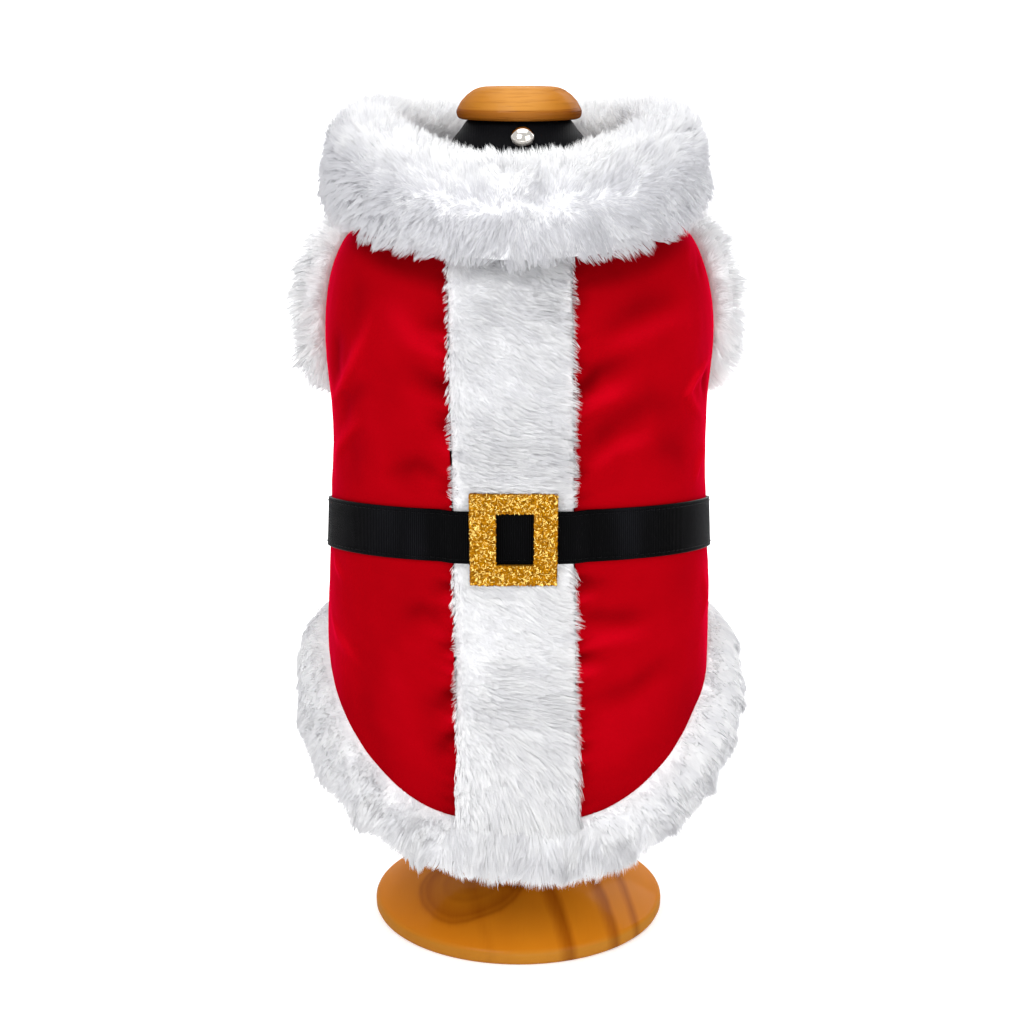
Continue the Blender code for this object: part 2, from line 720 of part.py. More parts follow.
def add_belt():
    """The ribbon, from one side seam to the other, over the placket."""
    sections = []
    for azimuth in np.linspace(-BELT_END, BELT_END, 45):
        middle = belt_height(azimuth)
        x = body_point(azimuth, rise_at(middle))[0]
        off_strip = abs(x - placket_middle(middle)) - PLACKET_WIDTH / 2
        pile = max(row[1] for row in PLACKET_SECTION) * PLACKET_PRESSED
        lift = 2 * SEAM_GAP + pile * (1.0 - smooth_step(off_strip, -2.0, 7.0))
        section = []
        for up, off in RIBBON_SECTION:
            height = middle + up * RIBBON_WIDTH / 2
            folds = max(float(fold_lift(azimuth, height)), 0.0)
            section.append(on_body(azimuth, rise_at(height), lift + folds + off * RIBBON_THICKNESS))
        sections.append(section)
    add_loft("belt", sections, "black_ribbon")


def add_buckle():
    """A flat square slide with a window that shows the ribbon."""
    middle_x = placket_middle(BELT_HEIGHT)
    half = BUCKLE_HEIGHT / 2
    corners = [(-BUCKLE_FOOT_WIDTH / 2, -half), (BUCKLE_FOOT_WIDTH / 2, -half),
               (BUCKLE_TOP_WIDTH / 2, half), (-BUCKLE_TOP_WIDTH / 2, half)]
    wide, high = BUCKLE_WINDOW[0] / 2, BUCKLE_WINDOW[1] / 2
    shift = BUCKLE_WINDOW_SHIFT
    window = [(shift - wide, -high), (shift + wide, -high), (shift + wide, high), (shift - wide, high)]
    on_belt = body_point(0.0, rise_at(BELT_HEIGHT))[1]
    pile = max(row[1] for row in PLACKET_SECTION) * PLACKET_PRESSED
    back = on_belt - (3 * SEAM_GAP + pile + RIBBON_THICKNESS)
    points = []
    for y in (back, back - BUCKLE_THICKNESS):
        points += [(middle_x + x, y, BELT_HEIGHT + z) for x, z in corners + window]
    faces = []
    for k in range(4):
        n = (k + 1) % 4
        faces += [(k, n, 4 + n, 4 + k), (8 + k, 12 + k, 12 + n, 8 + n)]
        faces += [(k, 8 + k, 8 + n, n), (4 + k, 4 + n, 12 + n, 12 + k)]
    buckle = add_object("buckle", points, faces, "gold_glitter", sharp_above=40.0)
    solid = bmesh.new()
    solid.from_mesh(buckle.data)
    bmesh.ops.recalc_face_normals(solid, faces=solid.faces)
    solid.to_mesh(buckle.data)
    solid.free()
    edge = buckle.modifiers.new("worn edges", "BEVEL")
    edge.width = BUCKLE_EDGE * MM
    edge.segments = 2


def main():
    for old in list(bpy.data.objects):
        bpy.data.objects.remove(old)
    add_stand()
    add_form()
    add_back_panel("back_panel_left", -1)
    add_back_panel("back_panel_right", 1)
    add_placket()
    add_belly_panel()
    seam = SIDE_SEAM - SEAM_TURN
    add_hem_band("hem_band_back", -seam, seam, 41)
    seam = SIDE_SEAM + SEAM_TURN
    add_hem_band("hem_band_belly", seam, 360.0 - seam, 25)
    add_cuff("cuff_left", -1)
    add_cuff("cuff_right", 1)
    add_collar()
    add_belt()
    add_buckle()


if __name__ == "__main__":
    main()
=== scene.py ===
"""Looks of a dog's santa coat on its dress form: velvet, faux fur, ribbon, glitter and turned wood.

Tables are in millimetres and degrees, like the solids; meshes are made in metres. The coat's
decorated back faces -Y. An azimuth of 0 degrees points to -Y and 90 degrees to +X. Fur is grown
strand by strand from a root surface to a tip surface, in tufts, over a closed undercoat.
"""

import math

import bmesh
import bpy
import numpy as np
from mathutils import Matrix, Vector, kdtree


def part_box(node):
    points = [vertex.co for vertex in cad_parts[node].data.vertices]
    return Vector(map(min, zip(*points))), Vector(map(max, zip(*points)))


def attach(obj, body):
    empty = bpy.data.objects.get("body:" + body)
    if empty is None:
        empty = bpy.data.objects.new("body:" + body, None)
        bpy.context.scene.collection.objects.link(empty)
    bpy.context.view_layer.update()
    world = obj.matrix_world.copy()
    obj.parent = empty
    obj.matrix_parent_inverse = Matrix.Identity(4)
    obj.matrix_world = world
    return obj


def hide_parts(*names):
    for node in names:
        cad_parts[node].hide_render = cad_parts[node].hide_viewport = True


MM = 0.001

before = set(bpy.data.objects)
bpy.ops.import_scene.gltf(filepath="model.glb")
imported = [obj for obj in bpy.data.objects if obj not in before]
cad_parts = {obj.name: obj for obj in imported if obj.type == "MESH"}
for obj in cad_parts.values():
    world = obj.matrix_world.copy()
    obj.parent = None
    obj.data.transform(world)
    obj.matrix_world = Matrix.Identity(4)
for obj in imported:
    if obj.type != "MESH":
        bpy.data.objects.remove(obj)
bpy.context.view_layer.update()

# ---------------------------------------------------------------- the coat's sizes, as in the solids
CLOTH = 1.6
RIBBON_WIDTH = 25.4
RIBBON_THICKNESS = 1.0
PLACKET_WIDTH = 58.0
SIDE_SEAM = 98.0
SQUARENESS = 2.2
HEM_BACK, HEM_BELLY = 86.0, 162.0
HEM_RISE = (15.0, 108.0)
BELT_HEIGHT, BELT_DROP, BELT_DROP_AT = 228.3, 12.3, 84.0
NECK_SEAM = 375.0

MEAN_RADIUS = 95.0  # of the body, to turn degrees into millimetres along the cloth
# Heights of the body with its half width, and its depth to the back and to the belly.
BODY = (
    (40.0, 97.0, 95.5, 84.0),
    (86.0, 98.2, 94.5, 84.0),
    (120.0, 98.9, 93.5, 84.5),
    (150.0, 99.0, 92.5, 85.0),
    (176.0, 98.7, 91.5, 87.0),
    (200.0, 97.3, 90.5, 90.5),
    (228.0, 96.0, 90.0, 95.0),
    (255.0, 94.9, 90.0, 100.0),
    (280.0, 95.2, 91.0, 104.0),
    (300.0, 96.9, 91.5, 105.0),
    (318.0, 97.3, 90.0, 102.0),
    (335.0, 95.4, 86.5, 96.0),
    (350.0, 91.2, 80.5, 87.0),
    (360.0, 86.2, 74.0, 78.0),
    (367.0, 79.0, 66.5, 69.0),
    (371.5, 69.0, 58.0, 60.0),
    (NECK_SEAM, 58.0, 50.0, 52.0),
)

# Folds of the velvet, by azimuth and height. A pleat starts at a seam, where it is sharpest, and
# a fold fades out at both ends. The rise is above 0 for a ridge and below 0 for a trough. A lean
# above 0 makes the side to the right of the line, seen along it, the gentle one.
# Kind, width, rise, lean, and azimuths and heights along the line.
FOLDS = (
    ("pleat", 5.7, -2.8, 0.0, (-15.0, 294.0, -20.0, 297.0, -27.0, 301.0, -39.0, 309.5)),
    ("fold", 6.0, 1.3, 0.0, (-17.0, 306.0, -22.0, 313.0, -32.0, 320.0, -40.0, 331.0, -47.0, 341.0)),
    ("pleat", 4.0, -2.0, 0.0, (-15.0, 329.0, -22.0, 329.0, -33.0, 326.0)),
    ("pleat", 3.1, -1.5, 0.0, (-15.0, 342.0, -28.0, 341.0)),
    ("pleat", 4.4, -2.0, 0.0, (-15.0, 279.0, -20.0, 280.0, -30.0, 281.5)),
    ("pleat", 3.7, 1.4, 0.0, (-15.0, 268.0, -20.0, 270.0, -28.0, 276.0)),
    ("fold", 4.6, -1.2, 0.0, (-19.0, 255.5, -24.0, 257.0, -31.0, 260.0, -38.0, 256.0, -47.0, 249.0)),
    ("pleat", 2.9, 1.1, 0.0, (-15.0, 262.0, -25.0, 266.0)),
    ("pleat", 3.3, -2.0, 0.0, (-15.0, 250.0, -21.0, 249.0, -27.0, 247.0)),
    ("pleat", 2.6, 1.1, 0.0, (-15.0, 246.0, -24.0, 243.5)),
    ("fold", 3.2, 2.1, 0.4, (-46.0, 333.0, -50.0, 315.0, -54.0, 304.0, -60.0, 293.0, -77.0, 276.0)),
    ("fold", 3.6, 1.7, 0.4, (-50.0, 281.0, -63.0, 264.0, -75.0, 248.0)),
    ("fold", 6.5, -1.3, 0.0, (-62.0, 324.0, -66.0, 300.0, -74.0, 281.0)),
    ("fold", 7.5, -0.6, 0.0, (-57.0, 350.0, -54.0, 334.0, -58.0, 312.0)),
    ("fold", 5.0, -1.0, 0.0, (-44.0, 301.0, -52.0, 292.0, -59.0, 285.0, -69.0, 269.0)),
    ("pleat", 3.5, -2.1, 0.0, (-15.0, 202.5, -19.0, 202.0, -30.0, 200.0)),
    ("pleat", 3.3, 1.4, 0.0, (-15.0, 196.0, -27.0, 196.0)),
    ("fold", 4.8, -1.3, 0.0, (-19.0, 187.0, -24.0, 187.0, -30.0, 189.0, -40.0, 180.0)),
    ("pleat", 3.7, -1.8, 0.0, (-15.0, 175.0, -21.0, 173.0, -29.0, 165.0)),
    ("pleat", 3.7, 1.1, 0.0, (-15.0, 161.0, -26.0, 154.0)),
    ("pleat", 4.4, -2.2, 0.0, (-15.0, 152.0, -19.0, 150.0, -22.0, 145.0, -31.0, 138.0)),
    ("pleat", 3.5, 1.1, 0.0, (-15.0, 139.0, -25.0, 131.0)),
    ("pleat", 4.4, -2.4, 0.0, (-15.0, 130.0, -19.0, 128.0, -25.0, 118.0, -29.0, 112.0)),
    ("fold", 2.6, 1.5, 0.3, (-75.0, 211.0, -68.0, 201.0, -60.0, 192.0)),
    ("fold", 3.4, 1.1, 0.3, (-76.0, 173.0, -61.0, 163.0, -49.0, 150.0)),
    ("fold", 6.5, -1.1, 0.0, (21.0, 318.0, 25.0, 323.0, 33.0, 331.0, 41.0, 335.0, 60.0, 340.0)),
    ("fold", 6.0, 1.3, 0.0, (21.0, 313.0, 36.0, 321.0, 46.0, 325.0, 63.0, 329.0)),
    ("pleat", 2.9, -1.5, 0.0, (14.0, 338.0, 24.0, 342.0)),
    ("pleat", 2.6, 1.1, 0.0, (14.0, 326.0, 22.0, 328.0)),
    ("pleat", 5.1, -2.5, 0.0, (14.0, 294.0, 20.0, 299.0, 23.0, 305.0, 30.0, 309.0, 40.0, 314.0)),
    ("pleat", 3.1, -1.4, 0.0, (14.0, 309.5, 23.0, 307.0)),
    ("fold", 5.0, 1.7, 0.0, (14.0, 287.0, 23.0, 292.0, 30.0, 296.0, 37.0, 302.0)),
    ("fold", 7.5, -1.4, 0.0, (15.0, 263.0, 19.0, 266.0, 24.0, 273.0, 30.0, 281.0, 40.0, 288.0, 58.0, 284.0)),
    ("fold", 5.0, 1.4, 0.0, (17.0, 256.0, 21.0, 260.0, 30.0, 269.0, 46.0, 273.0)),
    ("fold", 6.0, -0.7, 0.0, (40.0, 270.0, 50.0, 264.0, 63.0, 250.0)),
    ("pleat", 2.9, -2.1, 0.0, (14.0, 257.5, 22.0, 258.0)),
    ("pleat", 2.6, -1.7, 0.0, (14.0, 246.0, 24.0, 244.0)),
    ("fold", 2.6, 1.8, -0.3, (76.0, 304.0, 60.0, 297.5, 56.0, 290.0, 61.0, 282.0, 74.0, 270.0)),
    ("fold", 2.8, 1.6, 0.2, (74.0, 262.0, 67.0, 252.0, 63.0, 241.0)),
    ("fold", 3.0, 1.5, 0.2, (76.0, 363.0, 65.0, 354.0, 60.0, 343.0)),
    ("fold", 3.6, -1.0, 0.0, (80.0, 358.0, 73.0, 350.0, 68.0, 340.0)),
    ("fold", 4.0, -1.3, 0.0, (72.0, 300.0, 69.0, 292.0, 74.0, 282.0)),
    ("pleat", 3.7, -2.1, 0.0, (14.0, 204.5, 18.0, 204.0, 30.0, 201.0)),
    ("pleat", 4.0, 1.5, 0.0, (14.0, 195.5, 26.0, 196.0)),
    ("fold", 4.8, -1.4, 0.0, (13.0, 188.5, 19.0, 188.0, 26.0, 186.0, 33.0, 184.0, 45.0, 183.0)),
    ("fold", 5.2, 1.3, 0.0, (14.0, 173.0, 21.0, 174.0, 31.0, 176.0, 46.0, 176.0)),
    ("pleat", 3.5, -2.2, 0.0, (14.0, 167.0, 18.0, 167.0, 30.0, 166.0)),
    ("pleat", 4.4, 1.8, 0.0, (14.0, 160.5, 19.0, 160.0, 28.0, 160.5)),
    ("fold", 6.0, -1.2, 0.0, (16.0, 144.0, 21.0, 145.0, 35.0, 149.0, 44.0, 157.0, 58.0, 157.0)),
    ("pleat", 2.9, -1.7, 0.0, (14.0, 122.5, 24.0, 120.5)),
    ("pleat", 2.6, 1.1, 0.0, (14.0, 116.5, 23.0, 114.5)),
    ("pleat", 2.6, -1.5, 0.0, (14.0, 107.0, 22.0, 112.0)),
    ("fold", 2.6, 1.5, 0.2, (69.5, 198.0, 72.5, 181.0, 67.0, 168.0)),
    ("fold", 9.0, 2.6, 0.0, (168.0, 310.0, 160.0, 250.0)),
    ("fold", 9.0, 2.8, 0.2, (184.0, 300.0, 192.0, 235.0)),
    ("fold", 6.0, 2.2, 0.3, (200.0, 268.0, 232.0, 250.0)),
    ("fold", 6.0, 2.4, -0.3, (122.0, 262.0, 152.0, 240.0)),
    ("fold", 8.0, 2.2, 0.0, (118.0, 222.0, 150.0, 206.0)),
    ("fold", 8.0, 2.2, 0.0, (206.0, 214.0, 240.0, 230.0)),
    ("fold", 8.0, 2.0, 0.0, (150.0, 186.0, 176.0, 178.0)),
    ("fold", 7.0, 2.0, 0.0, (168.0, 346.0, 192.0, 340.0)),
    ("fold", 3.0, 1.0, 0.3, (128.0, 250.0, 138.0, 243.0, 148.0, 232.0)),
    ("fold", 3.2, -1.0, 0.0, (178.0, 296.0, 186.0, 250.0)),
    ("fold", 3.0, 1.0, 0.0, (214.0, 262.0, 230.0, 246.0)),
    ("fold", 3.0, 0.9, 0.0, (140.0, 214.0, 156.0, 204.0)),
    ("fold", 3.0, -0.9, 0.0, (202.0, 196.0, 222.0, 206.0)),
    ("pleat", 3.0, -1.6, 0.0, (98.0, 270.0, 119.5, 254.0)),
    ("pleat", 2.6, -1.3, 0.0, (98.0, 238.0, 117.0, 241.0)),
    ("pleat", 2.6, -1.3, 0.0, (98.0, 206.0, 114.0, 195.0)),
    ("pleat", 3.0, -1.6, 0.0, (262.0, 264.0, 240.5, 278.0)),
    ("pleat", 2.6, -1.3, 0.0, (262.0, 226.0, 246.0, 221.0)),
    ("pleat", 2.6, -1.3, 0.0, (262.0, 196.0, 243.0, 188.0)),
)
# From the belt's middle line: where the folds start, and where they have their full height.
FOLD_FREE = 13.0, 23.0
UNDER_COLLAR = (340.0, 366.0)  # heights between which the folds fade out
# Slack of the cloth apart from its folds: height and length of its waves, and their seed.
SLACK = ((0.30, 40.0, 3), (0.07, 13.0, 4))
# Painted shading of the folds: per millimetre of trough and of ridge, and per unit of slope.
PAINTED_SHADE_IN_TROUGHS, PAINTED_LIGHT_ON_RIDGES, PAINTED_SLOPE_SHADING = 0.20, 0.13, 0.26
# Strength of the painted shade below the collar and above the hem band.
PAINTED_SHADE_UNDER_COLLAR, PAINTED_SHADE_BY_HEM = 0.34, 0.07
# Painted shade near the fur, from where to where: below the collar, and above the hem band.
UNDER_COLLAR_SHADE_SPAN, ABOVE_HEM_SHADE_SPAN = (17.5, 8.5), (32.0, 12.0)
# Small gathers where the strip is sewn on: their depth, how far they reach, and their spacing.
GATHER_DEPTH, GATHER_REACH, GATHER_SPACING = 0.60, 4.5, 8.5

ARMHOLE_AZIMUTH, ARMHOLE_HEIGHT = 120.0, 323.5
ARMHOLE_HALF = (29.0, 33.0)
ARMHOLE_DEGREE = 1.65  # millimetres to a degree, round the body by the armholes
ARMHOLE_FLAT = (50.0, 66.0)  # from its middle: no folds up to the first, all from the second

COLLAR_INNER = (52.0, 50.0, 50.0)
COLLAR_OUTER = (95.0, 102.0, 94.0)
COLLAR_SHIFT = -1.4
COLLAR_SHADE = 0.75  # how much darker the pile is below the collar's widest line
SHOULDER_SHADE = 0.40  # and over its shoulders
# The pile parts into fall and stand: where, over what width, and how much darker it is there.
PARTING, PARTING_WIDTH, PARTING_SHADE = 0.31, 0.075, 0.60
COLLAR_SWEEP = 3.0  # degrees by which the pile is combed away from the middle of the back
# Azimuths from the middle of the back, and the heights of the collar's top and of its fall there.
COLLAR_TOP = (
    (0.0, 405.5), (20.0, 407.5), (40.0, 414.0), (75.0, 425.5), (110.0, 427.5), (180.0, 423.5),
)
COLLAR_FALL = (
    (0.0, 355.0), (25.0, 357.5), (45.0, 363.5), (60.0, 370.0), (76.0, 375.0), (92.0, 377.5),
    (108.0, 378.5), (145.0, 377.0), (180.0, 372.0),
)

# Fur sections. Each row pairs a root with the place that its tip reaches, so that a table also
# says which way the pile lies. Collar: shares of the way out and up. The rest: millimetres.
COLLAR_PILE = (
    (0.84, 0.07, 0.88, -0.03),
    (0.88, 0.15, 0.98, 0.03),
    (0.90, 0.27, 1.03, 0.11),
    (0.90, 0.39, 1.03, 0.27),
    (0.89, 0.49, 1.02, 0.46),
    (0.86, 0.60, 0.98, 0.66),
    (0.80, 0.71, 0.90, 0.83),
    (0.70, 0.81, 0.77, 0.95),
    (0.57, 0.87, 0.60, 1.02),
    (0.43, 0.88, 0.41, 1.04),
    (0.30, 0.84, 0.23, 0.99),
    (0.20, 0.75, 0.09, 0.88),
    (0.15, 0.62, 0.01, 0.72),
    (0.13, 0.48, 0.00, 0.52),
)
HEM_PILE = (
    (-0.9, -0.4, 1.8, 3.6),
    (-0.2, 1.6, 4.6, 6.8),
    (1.0, 4.2, 8.0, 10.4),
    (3.2, 7.0, 11.6, 13.4),
    (6.4, 9.4, 15.8, 15.6),
    (10.4, 11.2, 20.6, 16.8),
    (15.0, 12.0, 25.4, 16.2),
    (19.4, 11.4, 29.6, 13.8),
    (23.2, 9.6, 32.8, 10.2),
    (25.8, 6.8, 34.4, 5.8),
    (26.4, 3.6, 33.6, 1.4),
    (24.4, 1.0, 29.6, -1.4),
)
CUFF_PILE = (
    (8.8, 1.2, 15.4, 1.6),
    (10.6, 3.6, 18.8, 6.2),
    (11.0, 7.2, 19.4, 11.6),
    (10.2, 10.4, 17.8, 16.8),
    (8.0, 12.8, 13.2, 20.8),
    (5.2, 13.6, 7.6, 22.2),
    (2.6, 12.6, 2.0, 20.8),
    (1.2, 9.4, -1.4, 15.6),
    (0.8, 5.0, -2.0, 8.6),
)
# Inner sides of the hem band and of the armhole bands: along the cloth, and off it.
HEM_BACKING = ((10.0, -1.2), (4.0, -1.3), (0.8, -1.3))
CUFF_BACKING = ((0.2, 1.6), (4.5, 1.0))
BAND_GAP = 0.05  # degrees between the hem band's ends and a side seam
HEM_LEAN = 0.08  # how far the hem band leans off the body, as a share of the way down it
HEM_SAG, CUFF_SAG = 0.05, 0.22  # how far the tips hang down, as shares of the strands' length
# The hem's fur is brushed shorter on each side of the middle: azimuths, and shares of its reach.
HEM_REACH = (
    (-98.0, 0.98), (-62.0, 0.94), (-42.0, 0.80), (-28.0, 0.72), (-12.0, 0.78), (4.0, 0.92),
    (18.0, 0.86), (34.0, 0.84), (50.0, 0.93), (70.0, 1.06), (98.0, 1.04), (262.0, 0.98),
)
PLACKET_PILE = 7.2
# A strand is a zigzag strip: where each of its points lies along it, on which side, how wide.
STRAND_SHARES = (0.0, 0.20, 0.47, 0.76, 1.0)
STRAND_SIDES = (-0.7, 1.0, -1.0, 0.75, 0.0)
STRAND_FACES = ((0, 1, 2), (2, 1, 3), (2, 3, 4))
WISPS = 0.04  # share of the strands that stray from their tuft
SWAY_LONG, SWAY_SHORT = 24.0, 9.0  # lengths of the waves in which a pile sways
# Random spreads: a lock's pull towards its tuft, and lengths and widths of the strands.
LOCK_PULL, STRAND_LENGTHS, STRAND_WIDTHS = (0.20, 0.48), (0.72, 1.04), (0.7, 1.3)
# How each pile is drawn together, in the words of grow().
FALL_LOCKS = dict(tuft=8.0, lock=2.7, gather=0.66, ragged=1.28, tones=(0.30, 1.15), pale_root=0.3)
STAND_LOCKS = dict(tuft=6.5, lock=2.3, gather=0.60, ragged=1.28, tones=(0.5, 1.35), pale_root=0.3,
                   tilt=(-0.1, 1.0))
HEM_LOCKS = dict(tuft=5.4, lock=1.7, gather=0.34, ruffle=2.4, ragged=1.35, tones=(0.2, 0.9),
                 pale_root=0.85, tilt=(-0.1, 0.35))
CUFF_LOCKS = dict(tuft=6.0, lock=2.2, gather=0.55, ruffle=2.4, ragged=1.35, tones=(0.45, 1.1),
                  pale_root=0.4, tilt=(-0.2, 0.5))
PLACKET_LOCKS = dict(width=0.24, tuft=4.6, lock=1.7, gather=0.59, ruffle=0.9, rise=0.46,
                     ragged=1.3, tones=(0.20, 0.90), pale_root=0.3)


# ---------------------------------------------------------------- shape of the body
def smooth_step(value, low, high):
    share = np.clip((value - low) / (high - low), 0.0, 1.0)
    return share * share * (3.0 - 2.0 * share)


def spline(rows, steps):
    """Points on a smooth curve through the rows, steps of them to each stretch."""
    rows = np.array(rows, float)
    padded = np.vstack([2 * rows[0] - rows[1], rows, 2 * rows[-1] - rows[-2]])
    points = []
    for a, b, c, d in zip(padded, padded[1:], padded[2:], padded[3:]):
        for t in np.arange(steps) / steps:
            points.append(
                0.5 * (2 * b + (c - a) * t + (2 * a - 5 * b + 4 * c - d) * t**2
                       + (3 * b - a - 3 * c + d) * t**3)
            )
    points.append(rows[-1])
    return np.array(points)


BODY_CURVE = spline(BODY, 12)
BODY_RISE = np.concatenate(
    [[0.0], np.cumsum(np.hypot(*np.diff(BODY_CURVE[:, [0, 2]], axis=0).T))]
)


def rise_at(height):
    return np.interp(height, BODY_CURVE[:, 0], BODY_RISE)


def height_at(rise):
    return np.interp(rise, BODY_RISE, BODY_CURVE[:, 0])


def unit(vectors):
    return vectors / np.maximum(np.linalg.norm(vectors, axis=-1, keepdims=True), 1e-9)


def oval(azimuth, half_width, back, belly, squareness=SQUARENESS):
    angle = np.radians(azimuth)
    depth = np.where(np.cos(angle) > 0, back, belly)
    total = (np.abs(np.sin(angle)) / half_width) ** squareness
    total = total + (np.abs(np.cos(angle)) / depth) ** squareness
    return total ** (-1.0 / squareness)


def round_point(azimuth, radius, height):
    angle = np.radians(azimuth)
    return np.stack(
        np.broadcast_arrays(radius * np.sin(angle), -radius * np.cos(angle), height), axis=-1
    )


def body_point(azimuth, rise):
    height, half_width, back, belly = (
        np.interp(rise, BODY_RISE, column) for column in BODY_CURVE.T
    )
    return round_point(azimuth, oval(azimuth, half_width, back, belly), height)


def body_normal(azimuth, rise):
    around = body_point(azimuth + 0.4, rise) - body_point(azimuth - 0.4, rise)
    upwards = body_point(azimuth, rise + 0.6) - body_point(azimuth, rise - 0.6)
    return unit(np.cross(around, upwards))


def on_body(azimuth, rise, lift=0.0):
    lift = np.asarray(lift, float)
    return body_point(azimuth, rise) + lift[..., None] * body_normal(azimuth, rise)


def around_back(azimuth):
    return (np.asarray(azimuth, float) + 180.0) % 360.0 - 180.0


def hem_height(azimuth):
    share = smooth_step(np.abs(around_back(azimuth)), *HEM_RISE)
    return HEM_BACK + (HEM_BELLY - HEM_BACK) * share


def belt_height(azimuth):
    return BELT_HEIGHT - BELT_DROP * (np.abs(around_back(azimuth)) / BELT_DROP_AT) ** 2.4


def placket_middle(height):
    return -0.7 - 0.0148 * (height - HEM_BACK)


def azimuth_of_x(x, rise):
    """Azimuth of the point of the back at this x."""
    low, high = np.full(np.shape(rise), -80.0), np.full(np.shape(rise), 80.0)
    for _ in range(26):
        middle = (low + high) / 2
        left_of = body_point(middle, rise)[..., 0] < x
        low, high = np.where(left_of, middle, low), np.where(left_of, high, middle)
    return (low + high) / 2


def folds(azimuth, height):
    """How far the folds lift the cloth, or let it sink where that is below 0."""
    lift = np.zeros(np.broadcast(azimuth, height).shape)
    degree = math.radians(1.0) * MEAN_RADIUS
    nearest = around_back(azimuth)
    for kind, width, rise, lean, places in FOLDS:
        line = np.array(places).reshape(-1, 2)
        x = (azimuth if line[0, 0] >= SIDE_SEAM else nearest) * degree
        line = line * (degree, 1.0)
        steps = np.diff(line, axis=0)
        lengths = np.hypot(*steps.T)
        closest = np.full(lift.shape, 1e9)
        side, share = np.zeros(lift.shape), np.zeros(lift.shape)
        for start, step, length, before in zip(line, steps, lengths, np.cumsum(lengths) - lengths):
            off_x, off_z = x - start[0], height - start[1]
            along = np.clip((off_x * step[0] + off_z * step[1]) / length**2, 0.0, 1.0)
            off = np.hypot(off_x - along * step[0], off_z - along * step[1])
            nearer = off < closest
            closest = np.where(nearer, off, closest)
            side = np.where(nearer, np.sign(off_x * step[1] - off_z * step[0]), side)
            share = np.where(nearer, (before + along * length) / lengths.sum(), share)
        reach = width * (1.0 + lean * side)
        if kind == "pleat":
            reach = reach * (0.65 + 0.8 * share)
            strength = smooth_step(1.0 - share, 0.0, 0.8)
        else:
            strength = smooth_step(share, 0.0, 0.35) * smooth_step(1.0 - share, 0.0, 0.5)
        lift = lift + rise * strength * np.exp(-((closest / reach) ** 2))
    return lift


def waves(points, length, seed, count=7):
    """A smooth random field between about -1 and 1, the same for the same seed."""
    rng = np.random.default_rng(seed)
    total = 0.0
    for _ in range(count):
        way = unit(rng.normal(size=3))
        total = total + np.sin(points @ way * (2 * math.pi / length) * rng.uniform(0.7, 1.4)
                               + rng.uniform(0, 2 * math.pi))
    return total / math.sqrt(count)


def gathers(azimuth, height):
    """Small uneven folds that run out from both edges of the strip."""
    x = body_point(azimuth, rise_at(height))[..., 0] - placket_middle(height)
    from_strip = np.maximum(np.abs(x) - PLACKET_WIDTH / 2, 0.0)
    down = height - 0.3 * np.abs(x)
    places = np.stack(np.broadcast_arrays(0.0 * x, 40.0 * np.sign(x), down), axis=-1)
    return GATHER_DEPTH * waves(places, GATHER_SPACING, 9) * np.exp(-from_strip / GATHER_REACH)


def fold_lift(azimuth, height):
    """All folds of the velvet, flat under the ribbon and fading out below the collar."""
    nearest = around_back(azimuth)
    points = round_point(azimuth, MEAN_RADIUS, height)
    lift = folds(azimuth, height)
    for rise, length, seed in SLACK:
        lift = lift + rise * waves(points, length, seed)
    by_strip = np.abs(nearest) < 60.0
    lift = lift + np.where(by_strip, gathers(nearest, height), 0.0)
    on_back = smooth_step(SIDE_SEAM + 12.0 - np.abs(nearest), 0.0, 12.0)
    off_belt = smooth_step(np.abs(height - belt_height(nearest)), *FOLD_FREE)
    low, high = UNDER_COLLAR
    below_collar = smooth_step(high - height, 0.0, high - low)
    return lift * (1.0 - on_back * (1.0 - off_belt)) * below_collar


def off_armhole(azimuth, height):
    """0 round the armholes, where the cloth is flat, and 1 away from them."""
    turned = 180.0 - np.abs(azimuth % 360.0 - 180.0)
    off = np.hypot((turned - ARMHOLE_AZIMUTH) * ARMHOLE_DEGREE, height - ARMHOLE_HEIGHT)
    return smooth_step(off, *ARMHOLE_FLAT)


# ---------------------------------------------------------------- making meshes
def turn_outwards(mesh):
    work = bmesh.new()
    work.from_mesh(mesh)
    bmesh.ops.recalc_face_normals(work, faces=work.faces)
    work.to_mesh(mesh)
    work.free()


def add_mesh(name, points, faces, finish, replaces=(), sharp_above=None, closed=False):
    """A piece of the object that rides on the body, from points in millimetres.

    A closed one gets its faces turned outwards. Edges sharper than sharp_above aren't smoothed.
    """
    mesh = bpy.data.meshes.new(name)
    points = np.ascontiguousarray(np.asarray(points, float).reshape(-1, 3) * MM, np.float32)
    if isinstance(faces, list):
        corners = np.concatenate([np.asarray(face, np.int32) for face in faces])
        sizes = np.array([len(face) for face in faces])
    else:
        corners = np.asarray(faces, np.int32).ravel()
        sizes = np.full(len(faces), faces.shape[1])
    mesh.vertices.add(len(points))
    mesh.vertices.foreach_set("co", points.ravel())
    mesh.loops.add(len(corners))
    mesh.loops.foreach_set("vertex_index", np.ascontiguousarray(corners, np.int32))
    mesh.polygons.add(len(sizes))
    starts = np.concatenate([[0], np.cumsum(sizes)[:-1]]).astype(np.int32)
    mesh.polygons.foreach_set("loop_start", starts)
    mesh.update(calc_edges=True)
    mesh.validate()
    if closed:
        turn_outwards(mesh)
    mesh.shade_smooth()
    if sharp_above is not None:
        mesh.set_sharp_from_angle(angle=math.radians(sharp_above))
    mesh.materials.append(finish)
    made = bpy.data.objects.new(name, mesh)
    bpy.context.scene.collection.objects.link(made)
    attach(made, "root")
    if replaces:
        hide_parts(*replaces)
    return made


